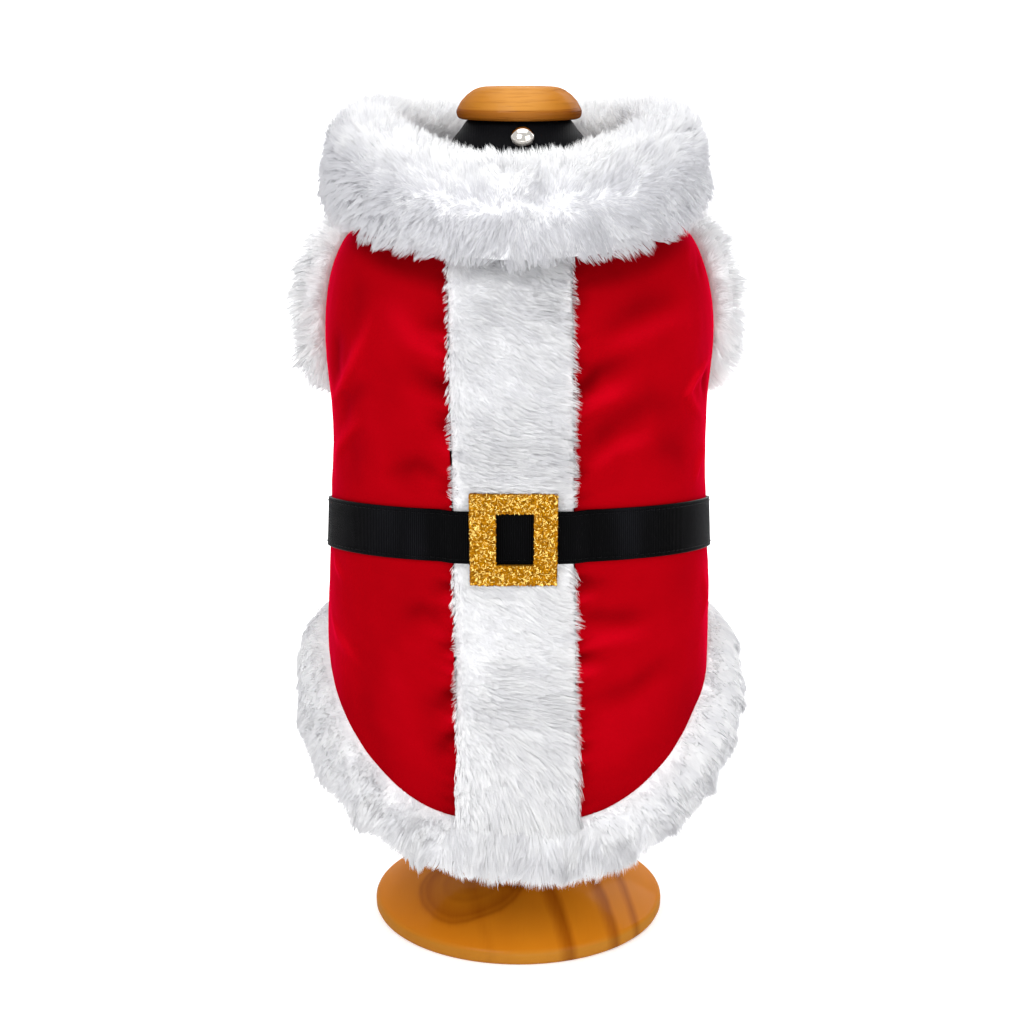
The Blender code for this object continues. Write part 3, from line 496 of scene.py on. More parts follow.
def grid_faces(rows, columns, wrap_rows=False, wrap_columns=False):
    """The quads of a grid of points, which may close on itself either way."""
    r, c = np.meshgrid(
        np.arange(rows if wrap_rows else rows - 1),
        np.arange(columns if wrap_columns else columns - 1),
        indexing="ij",
    )
    r2, c2 = (r + 1) % rows, (c + 1) % columns
    quads = [r * columns + c, r * columns + c2, r2 * columns + c2, r2 * columns + c]
    return np.stack(quads, axis=-1).reshape(-1, 4)


def closed_tube(rings, first=None, last=None):
    """Points and faces of a tube through rings, with its ends closed round a first and last point."""
    count, around = rings.shape[:2]
    first = rings[0].mean(axis=0) if first is None else first
    last = rings[-1].mean(axis=0) if last is None else last
    points = np.vstack([rings.reshape(-1, 3), [first], [last]])
    here = np.arange(around)
    there = (here + 1) % around
    low, tip = (count - 1) * around, count * around
    faces = [tuple(face) for face in grid_faces(count, around, False, True)]
    faces += [(b, a, tip) for a, b in zip(here, there)]
    faces += [(low + a, low + b, tip + 1) for a, b in zip(here, there)]
    return points, faces


def set_attribute(made, name, values):
    layer = made.data.attributes.new(name, "FLOAT", "POINT")
    layer.data.foreach_set("value", np.ascontiguousarray(values, np.float32))


def merged(parts):
    """One list of points and faces from several."""
    points, faces, start = [], [], 0
    for some_points, some_faces in parts:
        some_points = np.asarray(some_points, float).reshape(-1, 3)
        points.append(some_points)
        faces.append(np.asarray(some_faces) + start)
        start += len(some_points)
    return np.vstack(points), np.vstack(faces)


# ---------------------------------------------------------------- materials
class Finish:
    """A Principled material and short ways to wire nodes into it."""

    def __init__(self, name, **values):
        self.material = bpy.data.materials.new(name)
        self.material.use_nodes = True
        self.tree = self.material.node_tree
        self.shader = self.tree.nodes["Principled BSDF"]
        for key, value in values.items():
            self.shader.inputs[key.replace("_", " ")].default_value = value

    def node(self, kind, settings=(), **inputs):
        """A shader node. settings are its own; a socket is named, or given by number as in i0."""
        made = self.tree.nodes.new("ShaderNode" + kind)
        for key, value in dict(settings).items():
            setattr(made, key, value)
        for key, value in inputs.items():
            socket = made.inputs[int(key[1:])] if key[0] == "i" and key[1:].isdigit() \
                else made.inputs[key.replace("_", " ")]
            if hasattr(value, "is_linked"):
                self.tree.links.new(value, socket)
            else:
                socket.default_value = value
        return made

    def math(self, operation, a, b=0.0):
        return self.node("Math", {"operation": operation}, i0=a, i1=b).outputs[0]

    def place(self, scale=(1, 1, 1), turn=(0, 0, 0), shift=(0, 0, 0)):
        """Object coordinates, stretched and turned."""
        source = self.node("TexCoord").outputs["Object"]
        turned = self.node(
            "Mapping", (), Vector=source, Location=shift, Rotation=[math.radians(a) for a in turn],
            Scale=scale,
        )
        return turned.outputs[0]

    def noise(self, where, scale, detail=3.0, roughness=0.5, distortion=0.0):
        return self.node(
            "TexNoise", (), Vector=where, Scale=scale, Detail=detail, Roughness=roughness,
            Distortion=distortion,
        ).outputs["Fac"]

    def ramp(self, value, stops):
        """Colours by value, from rows of a position and a colour."""
        made = self.node("ValToRGB", (), Fac=value)
        elements = made.color_ramp.elements
        while len(elements) < len(stops):
            elements.new(0.5)
        for element, (position, colour) in zip(elements, stops):
            element.position = position
            element.color = (*colour, 1.0)
        return made.outputs["Color"]

    def greys(self, value, stops):
        return self.ramp(value, [(position, (grey,) * 3) for position, grey in stops])

    def attribute(self, name):
        return self.node("Attribute", {"attribute_name": name}).outputs["Fac"]

    def mix(self, share, a, b, blend="MIX"):
        made = self.node("Mix", {"data_type": "RGBA", "blend_type": blend})
        for index, value in ((0, share), (6, a), (7, b)):
            if hasattr(value, "is_linked"):
                self.tree.links.new(value, made.inputs[index])
            else:
                made.inputs[index].default_value = value if index == 0 else (*value, 1.0)
        return made.outputs[2]

    def bump(self, height, strength, distance, normal=None):
        made = self.node("Bump", (), Height=height, Strength=strength, Distance=distance)
        if normal is not None:
            self.tree.links.new(normal, made.inputs["Normal"])
        return made.outputs[0]

    def wire(self, **sockets):
        for key, value in sockets.items():
            self.tree.links.new(value, self.shader.inputs[key.replace("_", " ")])
        return self.material


def velvet():
    """Short-pile red velvet, with painted shading from its folds and painted shade near the fur."""
    made = Finish("velvet", Roughness=0.62, Specular_IOR_Level=0.0, Sheen_Weight=0.85,
                  Sheen_Roughness=0.28, Sheen_Tint=(0.75, 0.004, 0.045, 1.0))
    painted_shading = made.attribute("painted_shading")
    where = made.place()
    patches = made.noise(where, 30.0, 3.0, 0.5)
    fibres = made.noise(where, 1500.0, 2.0, 0.6)
    tone_mix = made.math("ADD", made.math("MULTIPLY", patches, 0.12),
                     made.math("MULTIPLY", fibres, 0.18))
    # Painted shading, with the velvet's own random patches and fibres.
    shading_and_tone = made.math("ADD", painted_shading, made.math("SUBTRACT", tone_mix, 0.15))
    colour = made.ramp(shading_and_tone, ((0.0, (0.125, 0.0002, 0.0014)), (0.5, (0.268, 0.0003, 0.0028)),
                             (0.8, (0.385, 0.0006, 0.0060)), (1.0, (0.47, 0.006, 0.016))))
    return made.wire(Base_Color=colour, Normal=made.bump(fibres, 0.15, 0.0002))


FUR_PASSES = 0.28  # share of the light that a strand lets through


def fur():
    """White faux fur: light passes through each strand; painted shade greys it towards its root.

    A strand is shaded alike on both faces, so the share that passes through turns over with it.
    """
    made = Finish("fur", Roughness=0.6, Specular_IOR_Level=0.3)
    tone = made.attribute("tone")
    # Painted shade: each strand greys towards its root, by its depth share.
    along = made.ramp(made.attribute("depth"), (
        (0.0, (0.72, 0.72, 0.735)), (0.5, (0.87, 0.87, 0.873)), (1.0, (0.94, 0.94, 0.938)),
    ))
    # Tone: each lock's own random tone, less the painted shade of its pile's shade grid.
    tint = made.mix(tone, (0.76, 0.76, 0.785), (1.0, 1.0, 1.0))
    colour = made.mix(1.0, along, tint, "MULTIPLY")
    through = made.node("BsdfTranslucent", (), Color=colour)
    behind = made.node("NewGeometry").outputs["Backfacing"]
    passed = made.math("ADD", made.math("MULTIPLY", behind, 1.0 - 2.0 * FUR_PASSES), FUR_PASSES)
    both = made.node("MixShader", (), Fac=passed)
    made.tree.links.new(made.shader.outputs[0], both.inputs[1])
    made.tree.links.new(through.outputs[0], both.inputs[2])
    made.tree.links.new(both.outputs[0], made.tree.nodes["Material Output"].inputs["Surface"])
    return made.wire(Base_Color=colour)


def undercoat():
    """The dense pile between and under the tufts."""
    made = Finish("undercoat", Roughness=0.9, Specular_IOR_Level=0.1)
    where = made.place()
    wool = made.noise(where, 420.0, 5.0, 0.62, 0.6)
    colour = made.ramp(wool, ((0.30, (0.85, 0.85, 0.86)), (0.65, (0.94, 0.94, 0.942))))
    return made.wire(Base_Color=colour, Normal=made.bump(wool, 0.5, 0.0012))


def ribbon():
    """Black grosgrain. Painted shade darkens the grooves between its ribs, and stretches of it."""
    made = Finish("ribbon", Roughness=0.36, Specular_IOR_Level=0.02)
    rib = made.attribute("rib")
    threads = made.noise(made.place(), 1900.0, 2.0, 0.6)
    broad = made.noise(made.place(scale=(1.0, 0.2, 0.2)), 34.0, 2.0, 0.5)
    # Painted shade in the grooves and along stretches, plus the threads' own texture.
    shade = made.math("MULTIPLY", rib, made.greys(broad, ((0.35, 0.15), (0.65, 1.0))))
    tone_mix = made.math("ADD", shade, made.math("MULTIPLY", threads, 0.1))
    colour = made.ramp(tone_mix, ((0.05, (0.0001, 0.0001, 0.0002)), (0.45, (0.0014, 0.0014, 0.0018)),
                              (1.0, (0.0082, 0.0085, 0.0110))))
    return made.wire(Base_Color=colour, Normal=made.bump(threads, 0.25, 0.0002))


def thread():
    """Black polyester sewing thread."""
    made = Finish("thread", Roughness=0.5, Specular_IOR_Level=0.05)
    twist = made.noise(made.place(), 3000.0, 2.0, 0.6)
    colour = made.ramp(twist, ((0.3, (0.0006, 0.0006, 0.0008)), (0.8, (0.0026, 0.0026, 0.0032))))
    return made.wire(Base_Color=colour)


def glitter_ground():
    """The fine gold grit between the flakes."""
    made = Finish("gold_ground", Metallic=0.75, Roughness=0.45)
    grains = made.node("TexVoronoi", (), Vector=made.place(), Scale=1500.0).outputs["Distance"]
    colour = made.ramp(grains, ((0.0, (0.44, 0.19, 0.006)), (0.8, (0.26, 0.10, 0.003))))
    return made.wire(Base_Color=colour, Normal=made.bump(grains, 0.8, 0.0005))


def glitter():
    """Metal flakes, each at its own tilt and gold; the glints' pale gold is partly a painted glint."""
    made = Finish("glitter", Metallic=0.85, Roughness=0.36, Specular_IOR_Level=0.1)
    colour = made.ramp(made.attribute("tone"), (
        (0.0, (0.13, 0.044, 0.001)), (0.35, (0.23, 0.087, 0.001)),
        (0.80, (0.33, 0.138, 0.001)), (1.0, (1.0, 0.76, 0.22)),
    ))
    return made.wire(Base_Color=colour)


def jersey():
    """Black knit with fine wales and a short fuzz."""
    made = Finish("jersey", Roughness=0.6, Specular_IOR_Level=0.05)
    where = made.place()
    wales = made.node("TexWave", {"bands_direction": "X"}, Vector=where, Scale=260.0,
                      Distortion=1.5, Detail=1.0).outputs["Fac"]
    fuzz = made.noise(where, 900.0, 3.0, 0.6)
    colour = made.ramp(fuzz, ((0.3, (0.0012, 0.0012, 0.0018)), (0.75, (0.003, 0.003, 0.004))))
    normal = made.bump(wales, 0.15, 0.0003, made.bump(fuzz, 0.2, 0.0003))
    return made.wire(Base_Color=colour, Normal=normal)


def varnished(name):
    return Finish(name, Roughness=0.5, Coat_Weight=0.10, Coat_Roughness=0.14,
                  Specular_IOR_Level=0.0)


GRAIN_SKEW = 0.24  # how far the base's growth lines lean from square to its front
GRAIN_WARP = 0.012  # metres by which the growth lines and the rings wander
GROWTH_SPAN = 0.160  # metres from the first to the last place for a growth line
KNOT_PLACE, KNOT_RADIUS = (-0.0240, -0.025), 0.031
# Growth lines of the base: shares of the span from left to right, and how dark.
GROWTH_LINES = (
    (0.26, 0.0), (0.30, 0.16), (0.33, 0.0), (0.520, 0.0), (0.548, 0.60), (0.568, 0.80),
    (0.594, 0.0), (0.692, 0.0), (0.718, 0.55), (0.736, 0.75), (0.756, 0.0), (0.800, 0.0),
    (0.828, 0.70), (0.852, 0.0),
)
# Rings round the knot: shares of its radius, and how dark.
KNOT_RINGS = (
    (0.0, 0.20), (0.30, 0.10), (0.42, 0.28), (0.52, 0.16), (0.66, 0.40), (0.76, 0.62), (0.82, 0.42),
    (0.88, 0.58), (0.94, 0.12), (1.0, 0.0),
)


def base_wood():
    """Varnished plain-sawn wood: growth lines on the right, rings round a knot on the left."""
    made = varnished("base_wood")
    apart = made.node("SeparateXYZ", (), Vector=made.place())
    x, y, z = apart.outputs[:3]
    warp = made.noise(made.place(scale=(1.0, 0.4, 0.4)), 20.0, 3.0, 0.5)
    push = made.math("MULTIPLY", made.math("SUBTRACT", warp, 0.5), GRAIN_WARP)
    across = made.math("ADD", made.math("ADD", x, made.math("MULTIPLY", y, GRAIN_SKEW)), push)
    share = made.math("ADD", made.math("MULTIPLY", across, 1.0 / GROWTH_SPAN), 0.5)
    lines = made.greys(share, GROWTH_LINES)
    off_x = made.math("SUBTRACT", x, KNOT_PLACE[0])
    off_y = made.math("MULTIPLY", made.math("SUBTRACT", y, KNOT_PLACE[1]), 0.9)
    radius = made.math("SQRT", made.math("ADD", made.math("MULTIPLY", off_x, off_x),
                                         made.math("MULTIPLY", off_y, off_y)))
    radius = made.math("ADD", radius, push)
    rings = made.greys(made.math("MULTIPLY", radius, 1.0 / KNOT_RADIUS), KNOT_RINGS)
    growth = made.mix(1.0, lines, rings, "ADD")
    along = made.place(scale=(1.0, 0.05, 0.2), turn=(0.0, 0.0, 15.0))
    pores = made.greys(made.noise(along, 560.0, 4.0, 0.7), ((0.35, 0.0), (0.7, 1.0)))
    broad = made.noise(made.place(scale=(1.0, 0.3, 1.0)), 26.0, 2.0, 0.5)
    early, late = (0.495, 0.153, 0.007), (0.265, 0.060, 0.002)
    colour = made.ramp(made.mix(0.09, growth, pores), ((0.05, early), (0.85, late)))
    shade = made.ramp(broad, ((0.35, (0.94, 0.91, 0.88)), (0.68, (1.04, 1.06, 1.06))))
    # Painted shade: the wall below 6 to 8.4 mm is less red and bluer, offsetting the floor's glow.
    rim = made.ramp(made.math("MULTIPLY", z, 50.0),
                    ((0.30, (0.72, 0.90, 1.9)), (0.42, (1.0, 1.0, 1.0))))
    colour = made.mix(1.0, made.mix(1.0, colour, shade, "MULTIPLY"), rim, "MULTIPLY")
    return made.wire(Base_Color=colour, Normal=made.bump(pores, 0.05, 0.0002))


def cap_wood():
    """Same wood, grain lying flat; painted shade at its sides and, redder, below the rounded edge."""
    made = varnished("cap_wood")
    apart = made.node("SeparateXYZ", (), Vector=made.place())
    x, height = apart.outputs[0], apart.outputs[2]
    sway = made.noise(made.place(), 22.0, 2.0, 0.5)
    level = made.place(scale=(0.035, 0.035, 1.0), turn=(0.0, 3.0, 0.0))
    streaks = made.greys(made.noise(level, 900.0, 3.0, 0.65), ((0.53, 0.0), (0.62, 1.0)))
    where = made.greys(sway, ((0.42, 0.25), (0.60, 1.0)))
    # Painted shade: darker towards the left and right sides, with a random sway.
    side_shade_with_sway = made.math("ADD", made.math("MULTIPLY", made.math("ABSOLUTE", x), 30.0),
                      made.math("MULTIPLY", made.math("SUBTRACT", sway, 0.5), 0.8))
    plain = made.ramp(side_shade_with_sway, ((0.10, (0.47, 0.205, 0.040)), (0.50, (0.37, 0.140, 0.016)),
                              (0.95, (0.27, 0.084, 0.006))))
    colour = made.mix(made.mix(1.0, streaks, where, "MULTIPLY"), plain, (0.20, 0.062, 0.007))
    # Painted shade: darker and redder below the rounded edge.
    below = made.ramp(made.math("MULTIPLY", made.math("SUBTRACT", height, 0.415), 80.0),
                      ((0.57, (0.66, 0.54, 0.42)), (0.65, (1.0, 1.0, 1.0))))
    return made.wire(Base_Color=made.mix(1.0, colour, below, "MULTIPLY"),
                     Normal=made.bump(streaks, 0.05, 0.0002))


def steel():
    """Polished metal with faint smears."""
    made = Finish("steel", Metallic=1.0, Base_Color=(0.80, 0.76, 0.70, 1.0))
    smears = made.noise(made.place(), 700.0, 3.0, 0.5)
    rough = made.node("MapRange", (), Value=smears, To_Min=0.05, To_Max=0.14).outputs[0]
    return made.wire(Roughness=rough)


def paper(name, colour):
    """White studio paper that glows a little, so that no shade is left on it."""
    made = Finish(name, Roughness=0.9, Specular_IOR_Level=0.1, Emission_Color=(1.0, 1.0, 1.0, 1.0),
                  Emission_Strength=0.24)
    tooth = made.noise(made.place(), 60.0, 2.0, 0.5)
    paler = tuple(min(1.0, c * 1.015) for c in colour)
    return made.wire(Base_Color=made.ramp(tooth, ((0.3, colour), (0.7, paler))))


VELVET, FUR, UNDERCOAT = velvet(), fur(), undercoat()
RIBBON, THREAD, GLITTER, GOLD_GROUND = ribbon(), thread(), glitter(), glitter_ground()
JERSEY, STEEL = jersey(), steel()
BASE_WOOD, CAP_WOOD = base_wood(), cap_wood()


# ---------------------------------------------------------------- the velvet
SHELL_SHARE = 0.9  # of the cloth's thickness, for the velvet's shell
SEAM_GAP, STRIP_GAP = 0.02, 0.1  # degrees at a side seam, and millimetres beside the strip
OTHER_SIDE = -40.0  # beyond this depth behind an armhole is the other side of the body


def edge_drop(distance, radius):
    """How far a turned-in edge falls below the face, at a distance from its fold."""
    near = np.clip(distance, 0.0, radius)
    return radius - np.sqrt(np.maximum(radius**2 - (radius - near) ** 2, 0.0))


def border_steps(count, fine=(0.0, 0.012, 0.05, 0.14)):
    """Shares from 0 to 1 in even steps, with finer ones at both ends for a rounded edge."""
    step = 1.0 / count
    inner = np.linspace(step, 1.0 - step, count - 1)
    ends = np.array(fine) / fine[-1] * step * 0.6
    return np.concatenate([ends, inner, 1.0 - ends[::-1]])


def add_velvet(name, azimuth, rise, lift, widths, node, holes=()):
    """A closed thin shell on the coat's surface. Its four edges are rounded like folded cloth.

    widths are the distances from its side edges and from its ends. A hole is an armhole frame.
    """
    height = height_at(rise)
    collar = np.interp(np.abs(around_back(azimuth)), *np.array(COLLAR_FALL).T)
    # Painted shade below the collar and above the hem band, taken off the painted shading.
    start, full = UNDER_COLLAR_SHADE_SPAN
    painted_shade_near_fur = PAINTED_SHADE_UNDER_COLLAR * smooth_step(height, collar - start, collar - full)
    start, full = ABOVE_HEM_SHADE_SPAN
    painted_shade_near_fur += PAINTED_SHADE_BY_HEM * smooth_step(start - height + hem_height(azimuth), 0.0, start - full)
    rows, columns = azimuth.shape
    radius = CLOTH / 2 * SHELL_SHARE
    drop = edge_drop(np.minimum(*widths), radius)
    outer = on_body(azimuth, rise, lift - drop).reshape(-1, 3)
    inner = on_body(azimuth, rise, lift - 2 * radius + drop).reshape(-1, 3)
    index = np.arange(rows * columns).reshape(rows, columns)
    behind = index + rows * columns
    for cut in ((0, slice(None)), (-1, slice(None)), (slice(None), 0), (slice(None), -1)):
        behind[cut] = index[cut]
    behind = behind.ravel()
    front = grid_faces(rows, columns)
    for hole in holes:
        front = cut_armhole(hole, front, outer, inner, behind)
    edges = open_edges(front)
    edges = edges[(behind[edges] != edges).any(axis=1)]
    # Walls close the shell round the armholes. At its four edges both faces share their points.
    walls = np.column_stack([edges[:, 1], edges[:, 0], behind[edges[:, 0]], behind[edges[:, 1]]])
    faces = np.vstack([front, behind[front][:, ::-1], walls])
    made = add_mesh(name, np.vstack([outer, inner]), faces, VELVET, [node])
    # Painted shade in troughs, highlight on ridges, lighter slopes facing up, darker facing down.
    faces_up = -np.gradient(lift, axis=0) / np.maximum(np.gradient(rise, axis=0), 1e-3)
    turned = np.where(lift < 0, PAINTED_SHADE_IN_TROUGHS, PAINTED_LIGHT_ON_RIDGES) * lift + PAINTED_SLOPE_SHADING * faces_up
    painted_shading = np.clip(0.5 + turned - painted_shade_near_fur, 0.0, 1.0)
    set_attribute(made, "painted_shading", np.tile(painted_shading.ravel(), 2))
    return made


def cut_armhole(hole, front, outer, inner, behind):
    """Takes the faces in an armhole off the front, and moves its rim's points onto its oval."""
    middle, out, around, up = hole
    off = outer - middle
    x, z = off @ around / ARMHOLE_HALF[0], off @ up / ARMHOLE_HALF[1]
    reach = np.hypot(x, z)
    this_side = off @ out > OTHER_SIDE
    gone = this_side & (reach < 0.98)
    front = front[~gone[front].any(axis=1)]
    rim = np.unique(open_edges(front))
    rim = rim[(behind[rim] != rim) & (reach[rim] < 1.4) & this_side[rim]]
    pull = 1.0 / reach[rim] - 1.0
    step = np.outer(pull * x[rim] * ARMHOLE_HALF[0], around)
    step += np.outer(pull * z[rim] * ARMHOLE_HALF[1], up)
    outer[rim] += step
    inner[rim] += step
    return front


def open_edges(faces):
    """The directed edges of these faces that no other of them shares."""
    edges = np.stack([faces, np.roll(faces, -1, axis=1)], axis=-1).reshape(-1, 2)
    most = int(edges.max()) + 1
    code, back = edges[:, 0] * most + edges[:, 1], edges[:, 1] * most + edges[:, 0]
    return edges[~np.isin(code, back)]


def border_distances(azimuth, rise):
    """Distance of each point of a panel's grid from its side edges, and from its ends."""
    points = on_body(azimuth, rise)
    along = np.linalg.norm(np.diff(points, axis=1), axis=2)
    left = np.concatenate([np.zeros((len(along), 1)), np.cumsum(along, axis=1)], axis=1)
    across = np.minimum(left, left[:, -1:] - left)
    up = np.linalg.norm(np.diff(points, axis=0), axis=2)
    low = np.concatenate([np.zeros((1, up.shape[1])), np.cumsum(up, axis=0)], axis=0)
    return across, np.minimum(low, low[-1:] - low)


def panel_area(azimuth, rise):
    """Area of the coat's plain surface under a panel's grid, in square metres."""
    points = on_body(azimuth, rise) * MM
    right = points[:-1, 1:] - points[:-1, :-1]
    upward = points[1:, :-1] - points[:-1, :-1]
    return float(np.linalg.norm(np.cross(right, upward), axis=2).sum())


def add_back_panel(name, side, node):
    """The red cloth on one side of the strip, up to the side seam."""
    share_c, share_r = np.meshgrid(border_steps(58), border_steps(205))
    # The azimuth of the strip's edge depends on the height, and the hem's height on the azimuth.
    guess = 18.0
    azimuth = side * (guess + (SIDE_SEAM - guess) * share_c)
    top = BODY_RISE[-1]
    for _ in range(4):
        low = rise_at(hem_height(azimuth))
        rise = low + (top - low) * share_r
        x = placket_middle(height_at(rise)) + side * (PLACKET_WIDTH / 2 + STRIP_GAP)
        edge = azimuth_of_x(x, rise)
        azimuth = edge + (side * (SIDE_SEAM - SEAM_GAP) - edge) * share_c
    height = height_at(rise)
    lift = fold_lift(azimuth, height)
    order = slice(None, None, side)
    azimuth, rise, lift = azimuth[:, order], rise[:, order], lift[:, order]
    made = add_velvet(name, azimuth, rise, lift, border_distances(azimuth, rise), node)
    round(panel_area(azimuth, rise) * 1.02, 4)


def armhole_frame(side):
    """Middle of an armhole, and the ways out of the body, round it and up."""
    rise = rise_at(ARMHOLE_HEIGHT)
    middle = body_point(side * ARMHOLE_AZIMUTH, rise)
    out = body_normal(side * ARMHOLE_AZIMUTH, rise)
    out[2] = 0.0
    out = unit(out)
    return middle, out, np.array([-out[1], out[0], 0.0]), np.array([0.0, 0.0, 1.0])


def add_belly_panel():
    """The belly panel, open at the armholes."""
    share_c, share_r = np.meshgrid(border_steps(96), border_steps(84))
    first, last = SIDE_SEAM + SEAM_GAP, 360.0 - SIDE_SEAM - SEAM_GAP
    azimuth = first + (last - first) * share_c
    low = rise_at(hem_height(azimuth))
    rise = low + (BODY_RISE[-1] - low) * share_r
    height = height_at(rise)
    lift = fold_lift(azimuth, height) * off_armhole(azimuth, height)
    made = add_velvet("belly_velvet", azimuth, rise, lift, border_distances(azimuth, rise),
                      "belly_panel", [armhole_frame(-1), armhole_frame(1)])
    holes = 2 * math.pi * ARMHOLE_HALF[0] * ARMHOLE_HALF[1] * MM * MM
    round(panel_area(azimuth, rise) - holes, 4)


# ---------------------------------------------------------------- the fur
def sample_grid(grid, row, column, s, t):
    """Values of a grid between its points, by shares s and t of a cell."""
    s, t = s[:, None], t[:, None]
    low = grid[row, column] * (1 - t) + grid[row, column + 1] * t
    high = grid[row + 1, column] * (1 - t) + grid[row + 1, column + 1] * t
    return low * (1 - s) + high * s


def surface_normals(grid):
    down = np.gradient(grid, axis=0)
    across = np.gradient(grid, axis=1)
    return unit(np.cross(across, down))


def nearest(points, places):
    """Which of the places is nearest to each point."""
    tree = kdtree.KDTree(len(places))
    for index, place in enumerate(places):
        tree.insert(place, index)
    tree.balance()
    return np.array([tree.find(point)[1] for point in points])


def sway(points, normal, ruffle, seed):
    """A wavy field that pushes tips about, mostly along the surface."""
    field = np.stack([waves(points, SWAY_LONG, seed + k) for k in (11, 12, 13)], axis=1)
    field += 0.6 * np.stack([waves(points, SWAY_SHORT, seed + k) for k in (14, 15, 16)], axis=1)
    return ruffle * (field - 0.6 * normal * np.sum(field * normal, axis=1, keepdims=True))


def grow(name, roots, tips, strands, seed, width=0.26, tuft=5.0, lock=1.6, gather=0.50,
         ruffle=1.8, rise=0.5, ragged=1.12, tones=(0.4, 1.0), shade=None, pale_root=0.0,
         tilt=(-1.0, 1.0), keep=None):
    """Strands from a grid of roots to a grid of tips, drawn together in locks and tufts.

    strands is how many are scattered, seed is where their random draws start, and width is a
    strand's mean width. tuft and lock are the distances between tufts and between the locks in
    them, gather is how close a lock's tips come together, ruffle how far the pile sways, and rise
    how much a strand stands up before it bends over. ragged is the length of the longest locks,
    as a share of the pile's. tones are the darkest and the lightest lock, from 0 to 1, and shade
    is what a grid takes off them. pale_root makes the roots paler and tilt is how far down and up
    a strand may face. keep says which roots may carry a strand.
    """
    rng = np.random.default_rng(seed)
    outward, cover = surface_normals(roots), surface_normals(tips)
    shade = np.zeros(roots.shape[:2]) if shade is None else shade
    if np.mean(np.sum(outward * (tips - roots), axis=-1)) < 0:
        outward, cover = -outward, -cover

    def cells(grid):
        right, down = grid[:-1, 1:] - grid[:-1, :-1], grid[1:, :-1] - grid[:-1, :-1]
        return np.linalg.norm(np.cross(right, down), axis=2)

    area = (cells(roots) + cells(tips)) / 2
    total = np.cumsum(area.ravel())

    def scatter(count):
        """Random places of the pile: root, tip, both surfaces' normals, and shade."""
        cell = np.searchsorted(total, rng.uniform(0, total[-1], count))
        row, column = np.unravel_index(cell, area.shape)
        s, t = rng.uniform(size=count), rng.uniform(size=count)
        root, tip, normal, face, dark = (
            sample_grid(grid, row, column, s, t)
            for grid in (roots, tips, outward, cover, shade[..., None])
        )
        return root, tip, unit(normal), unit(face), dark[:, 0]

    # The tufts, and the locks in them.
    tuft_root, tuft_tip, tuft_normal = scatter(max(8, int(total[-1] / tuft**2)))[:3]
    tuft_tip += (sway(tuft_root, tuft_normal, ruffle, seed)
                 + rng.normal(size=tuft_tip.shape) * ruffle * 0.5)
    lock_root, lock_tip, lock_normal = scatter(max(16, int(total[-1] / lock**2)))[:3]
    locks = len(lock_root)
    of_tuft = nearest(lock_root, tuft_root)
    lock_tip += (sway(lock_root, lock_normal, ruffle, seed)
                 + rng.normal(size=lock_tip.shape) * ruffle * 0.25)
    draw = rng.uniform(*LOCK_PULL, locks)[:, None]
    lock_tip = lock_tip * (1 - draw) + tuft_tip[of_tuft] * draw
    lock_tip = lock_root + (lock_tip - lock_root) * rng.uniform(0.80, ragged, locks)[:, None]
    lock_tone = rng.uniform(0.0, 0.6, len(tuft_root))[of_tuft] + rng.uniform(0.0, 0.4, locks)
    lock_tone = tones[0] + (tones[1] - tones[0]) * lock_tone

    # The strands: a root, a tip drawn to that of its lock, and a bend between them.
    strand = scatter(strands)
    if keep is not None:
        kept = keep(strand[0])
        strand = [values[kept] for values in strand]
    root, tip, normal, shown, dark = strand
    count = len(root)
    of_lock = nearest(root, lock_root)
    stray = rng.uniform(size=count) < WISPS
    pull = np.where(stray, 0.15, gather * rng.uniform(0.75, 1.1, count))[:, None]
    tip += sway(root, normal, ruffle, seed) + rng.normal(size=(count, 3)) * 0.5
    tip = tip * (1 - pull) + lock_tip[of_lock] * pull
    tip = root + (tip - root) * rng.uniform(*STRAND_LENGTHS, count)[:, None]
    reach = tip - root
    span = np.linalg.norm(reach, axis=1, keepdims=True)
    bend = root + span * 0.5 * unit(normal * rise + unit(reach) * (1 - rise))
    bend += rng.normal(size=(count, 3)) * 0.3
    axis = lock_root[of_lock] * 0.3 + lock_tip[of_lock] * 0.7
    shown = unit(np.column_stack([shown[:, :2], np.clip(shown[:, 2], *tilt)]))
    half = width / 2 * rng.uniform(*STRAND_WIDTHS, count) * np.where(stray, 0.6, 1.0)
    turn = rng.uniform(-0.9, 0.9, count)[:, None]

    # A shading normal is mostly the pile's, and a little its lock's and the strand's own.
    points, normals = [], []
    for share, side in zip(STRAND_SHARES, STRAND_SIDES):
        here = root * (1 - share) ** 2 + bend * 2 * share * (1 - share) + tip * share**2
        way = unit((bend - root) * (1 - share) + (tip - bend) * share)
        flat = unit(np.cross(way, normal))
        edge = unit(flat * np.cos(turn) + np.cross(way, flat) * np.sin(turn))
        face = np.cross(edge, way)
        back = np.sum(face * normal, axis=1, keepdims=True) < 0
        edge, face = np.where(back, -edge, edge), np.where(back, -face, face)
        points.append(here + edge * (half * side)[:, None])
        as_pile = normal * 0.3 * (1 - share) + shown * (0.6 + 0.3 * share)
        off_lock = unit(here - axis) * 0.28
        normals.append(unit(as_pile + off_lock + face * 0.1 + way * 0.2 + edge * side * 0.15))
    points, normals = np.stack(points, axis=1), np.stack(normals, axis=1)
    each = len(STRAND_SHARES)
    faces = np.array(STRAND_FACES)[None] + (np.arange(count) * each)[:, None, None]
    made = add_mesh(name, points, faces.reshape(-1, 3), FUR)
    made.data.normals_split_custom_set_from_vertices(normals.reshape(-1, 3))
    # Painted shade at the roots, lightened by pale_root.
    depth = pale_root + (1 - pale_root) * np.array(STRAND_SHARES)
    set_attribute(made, "depth", np.tile(depth, count))
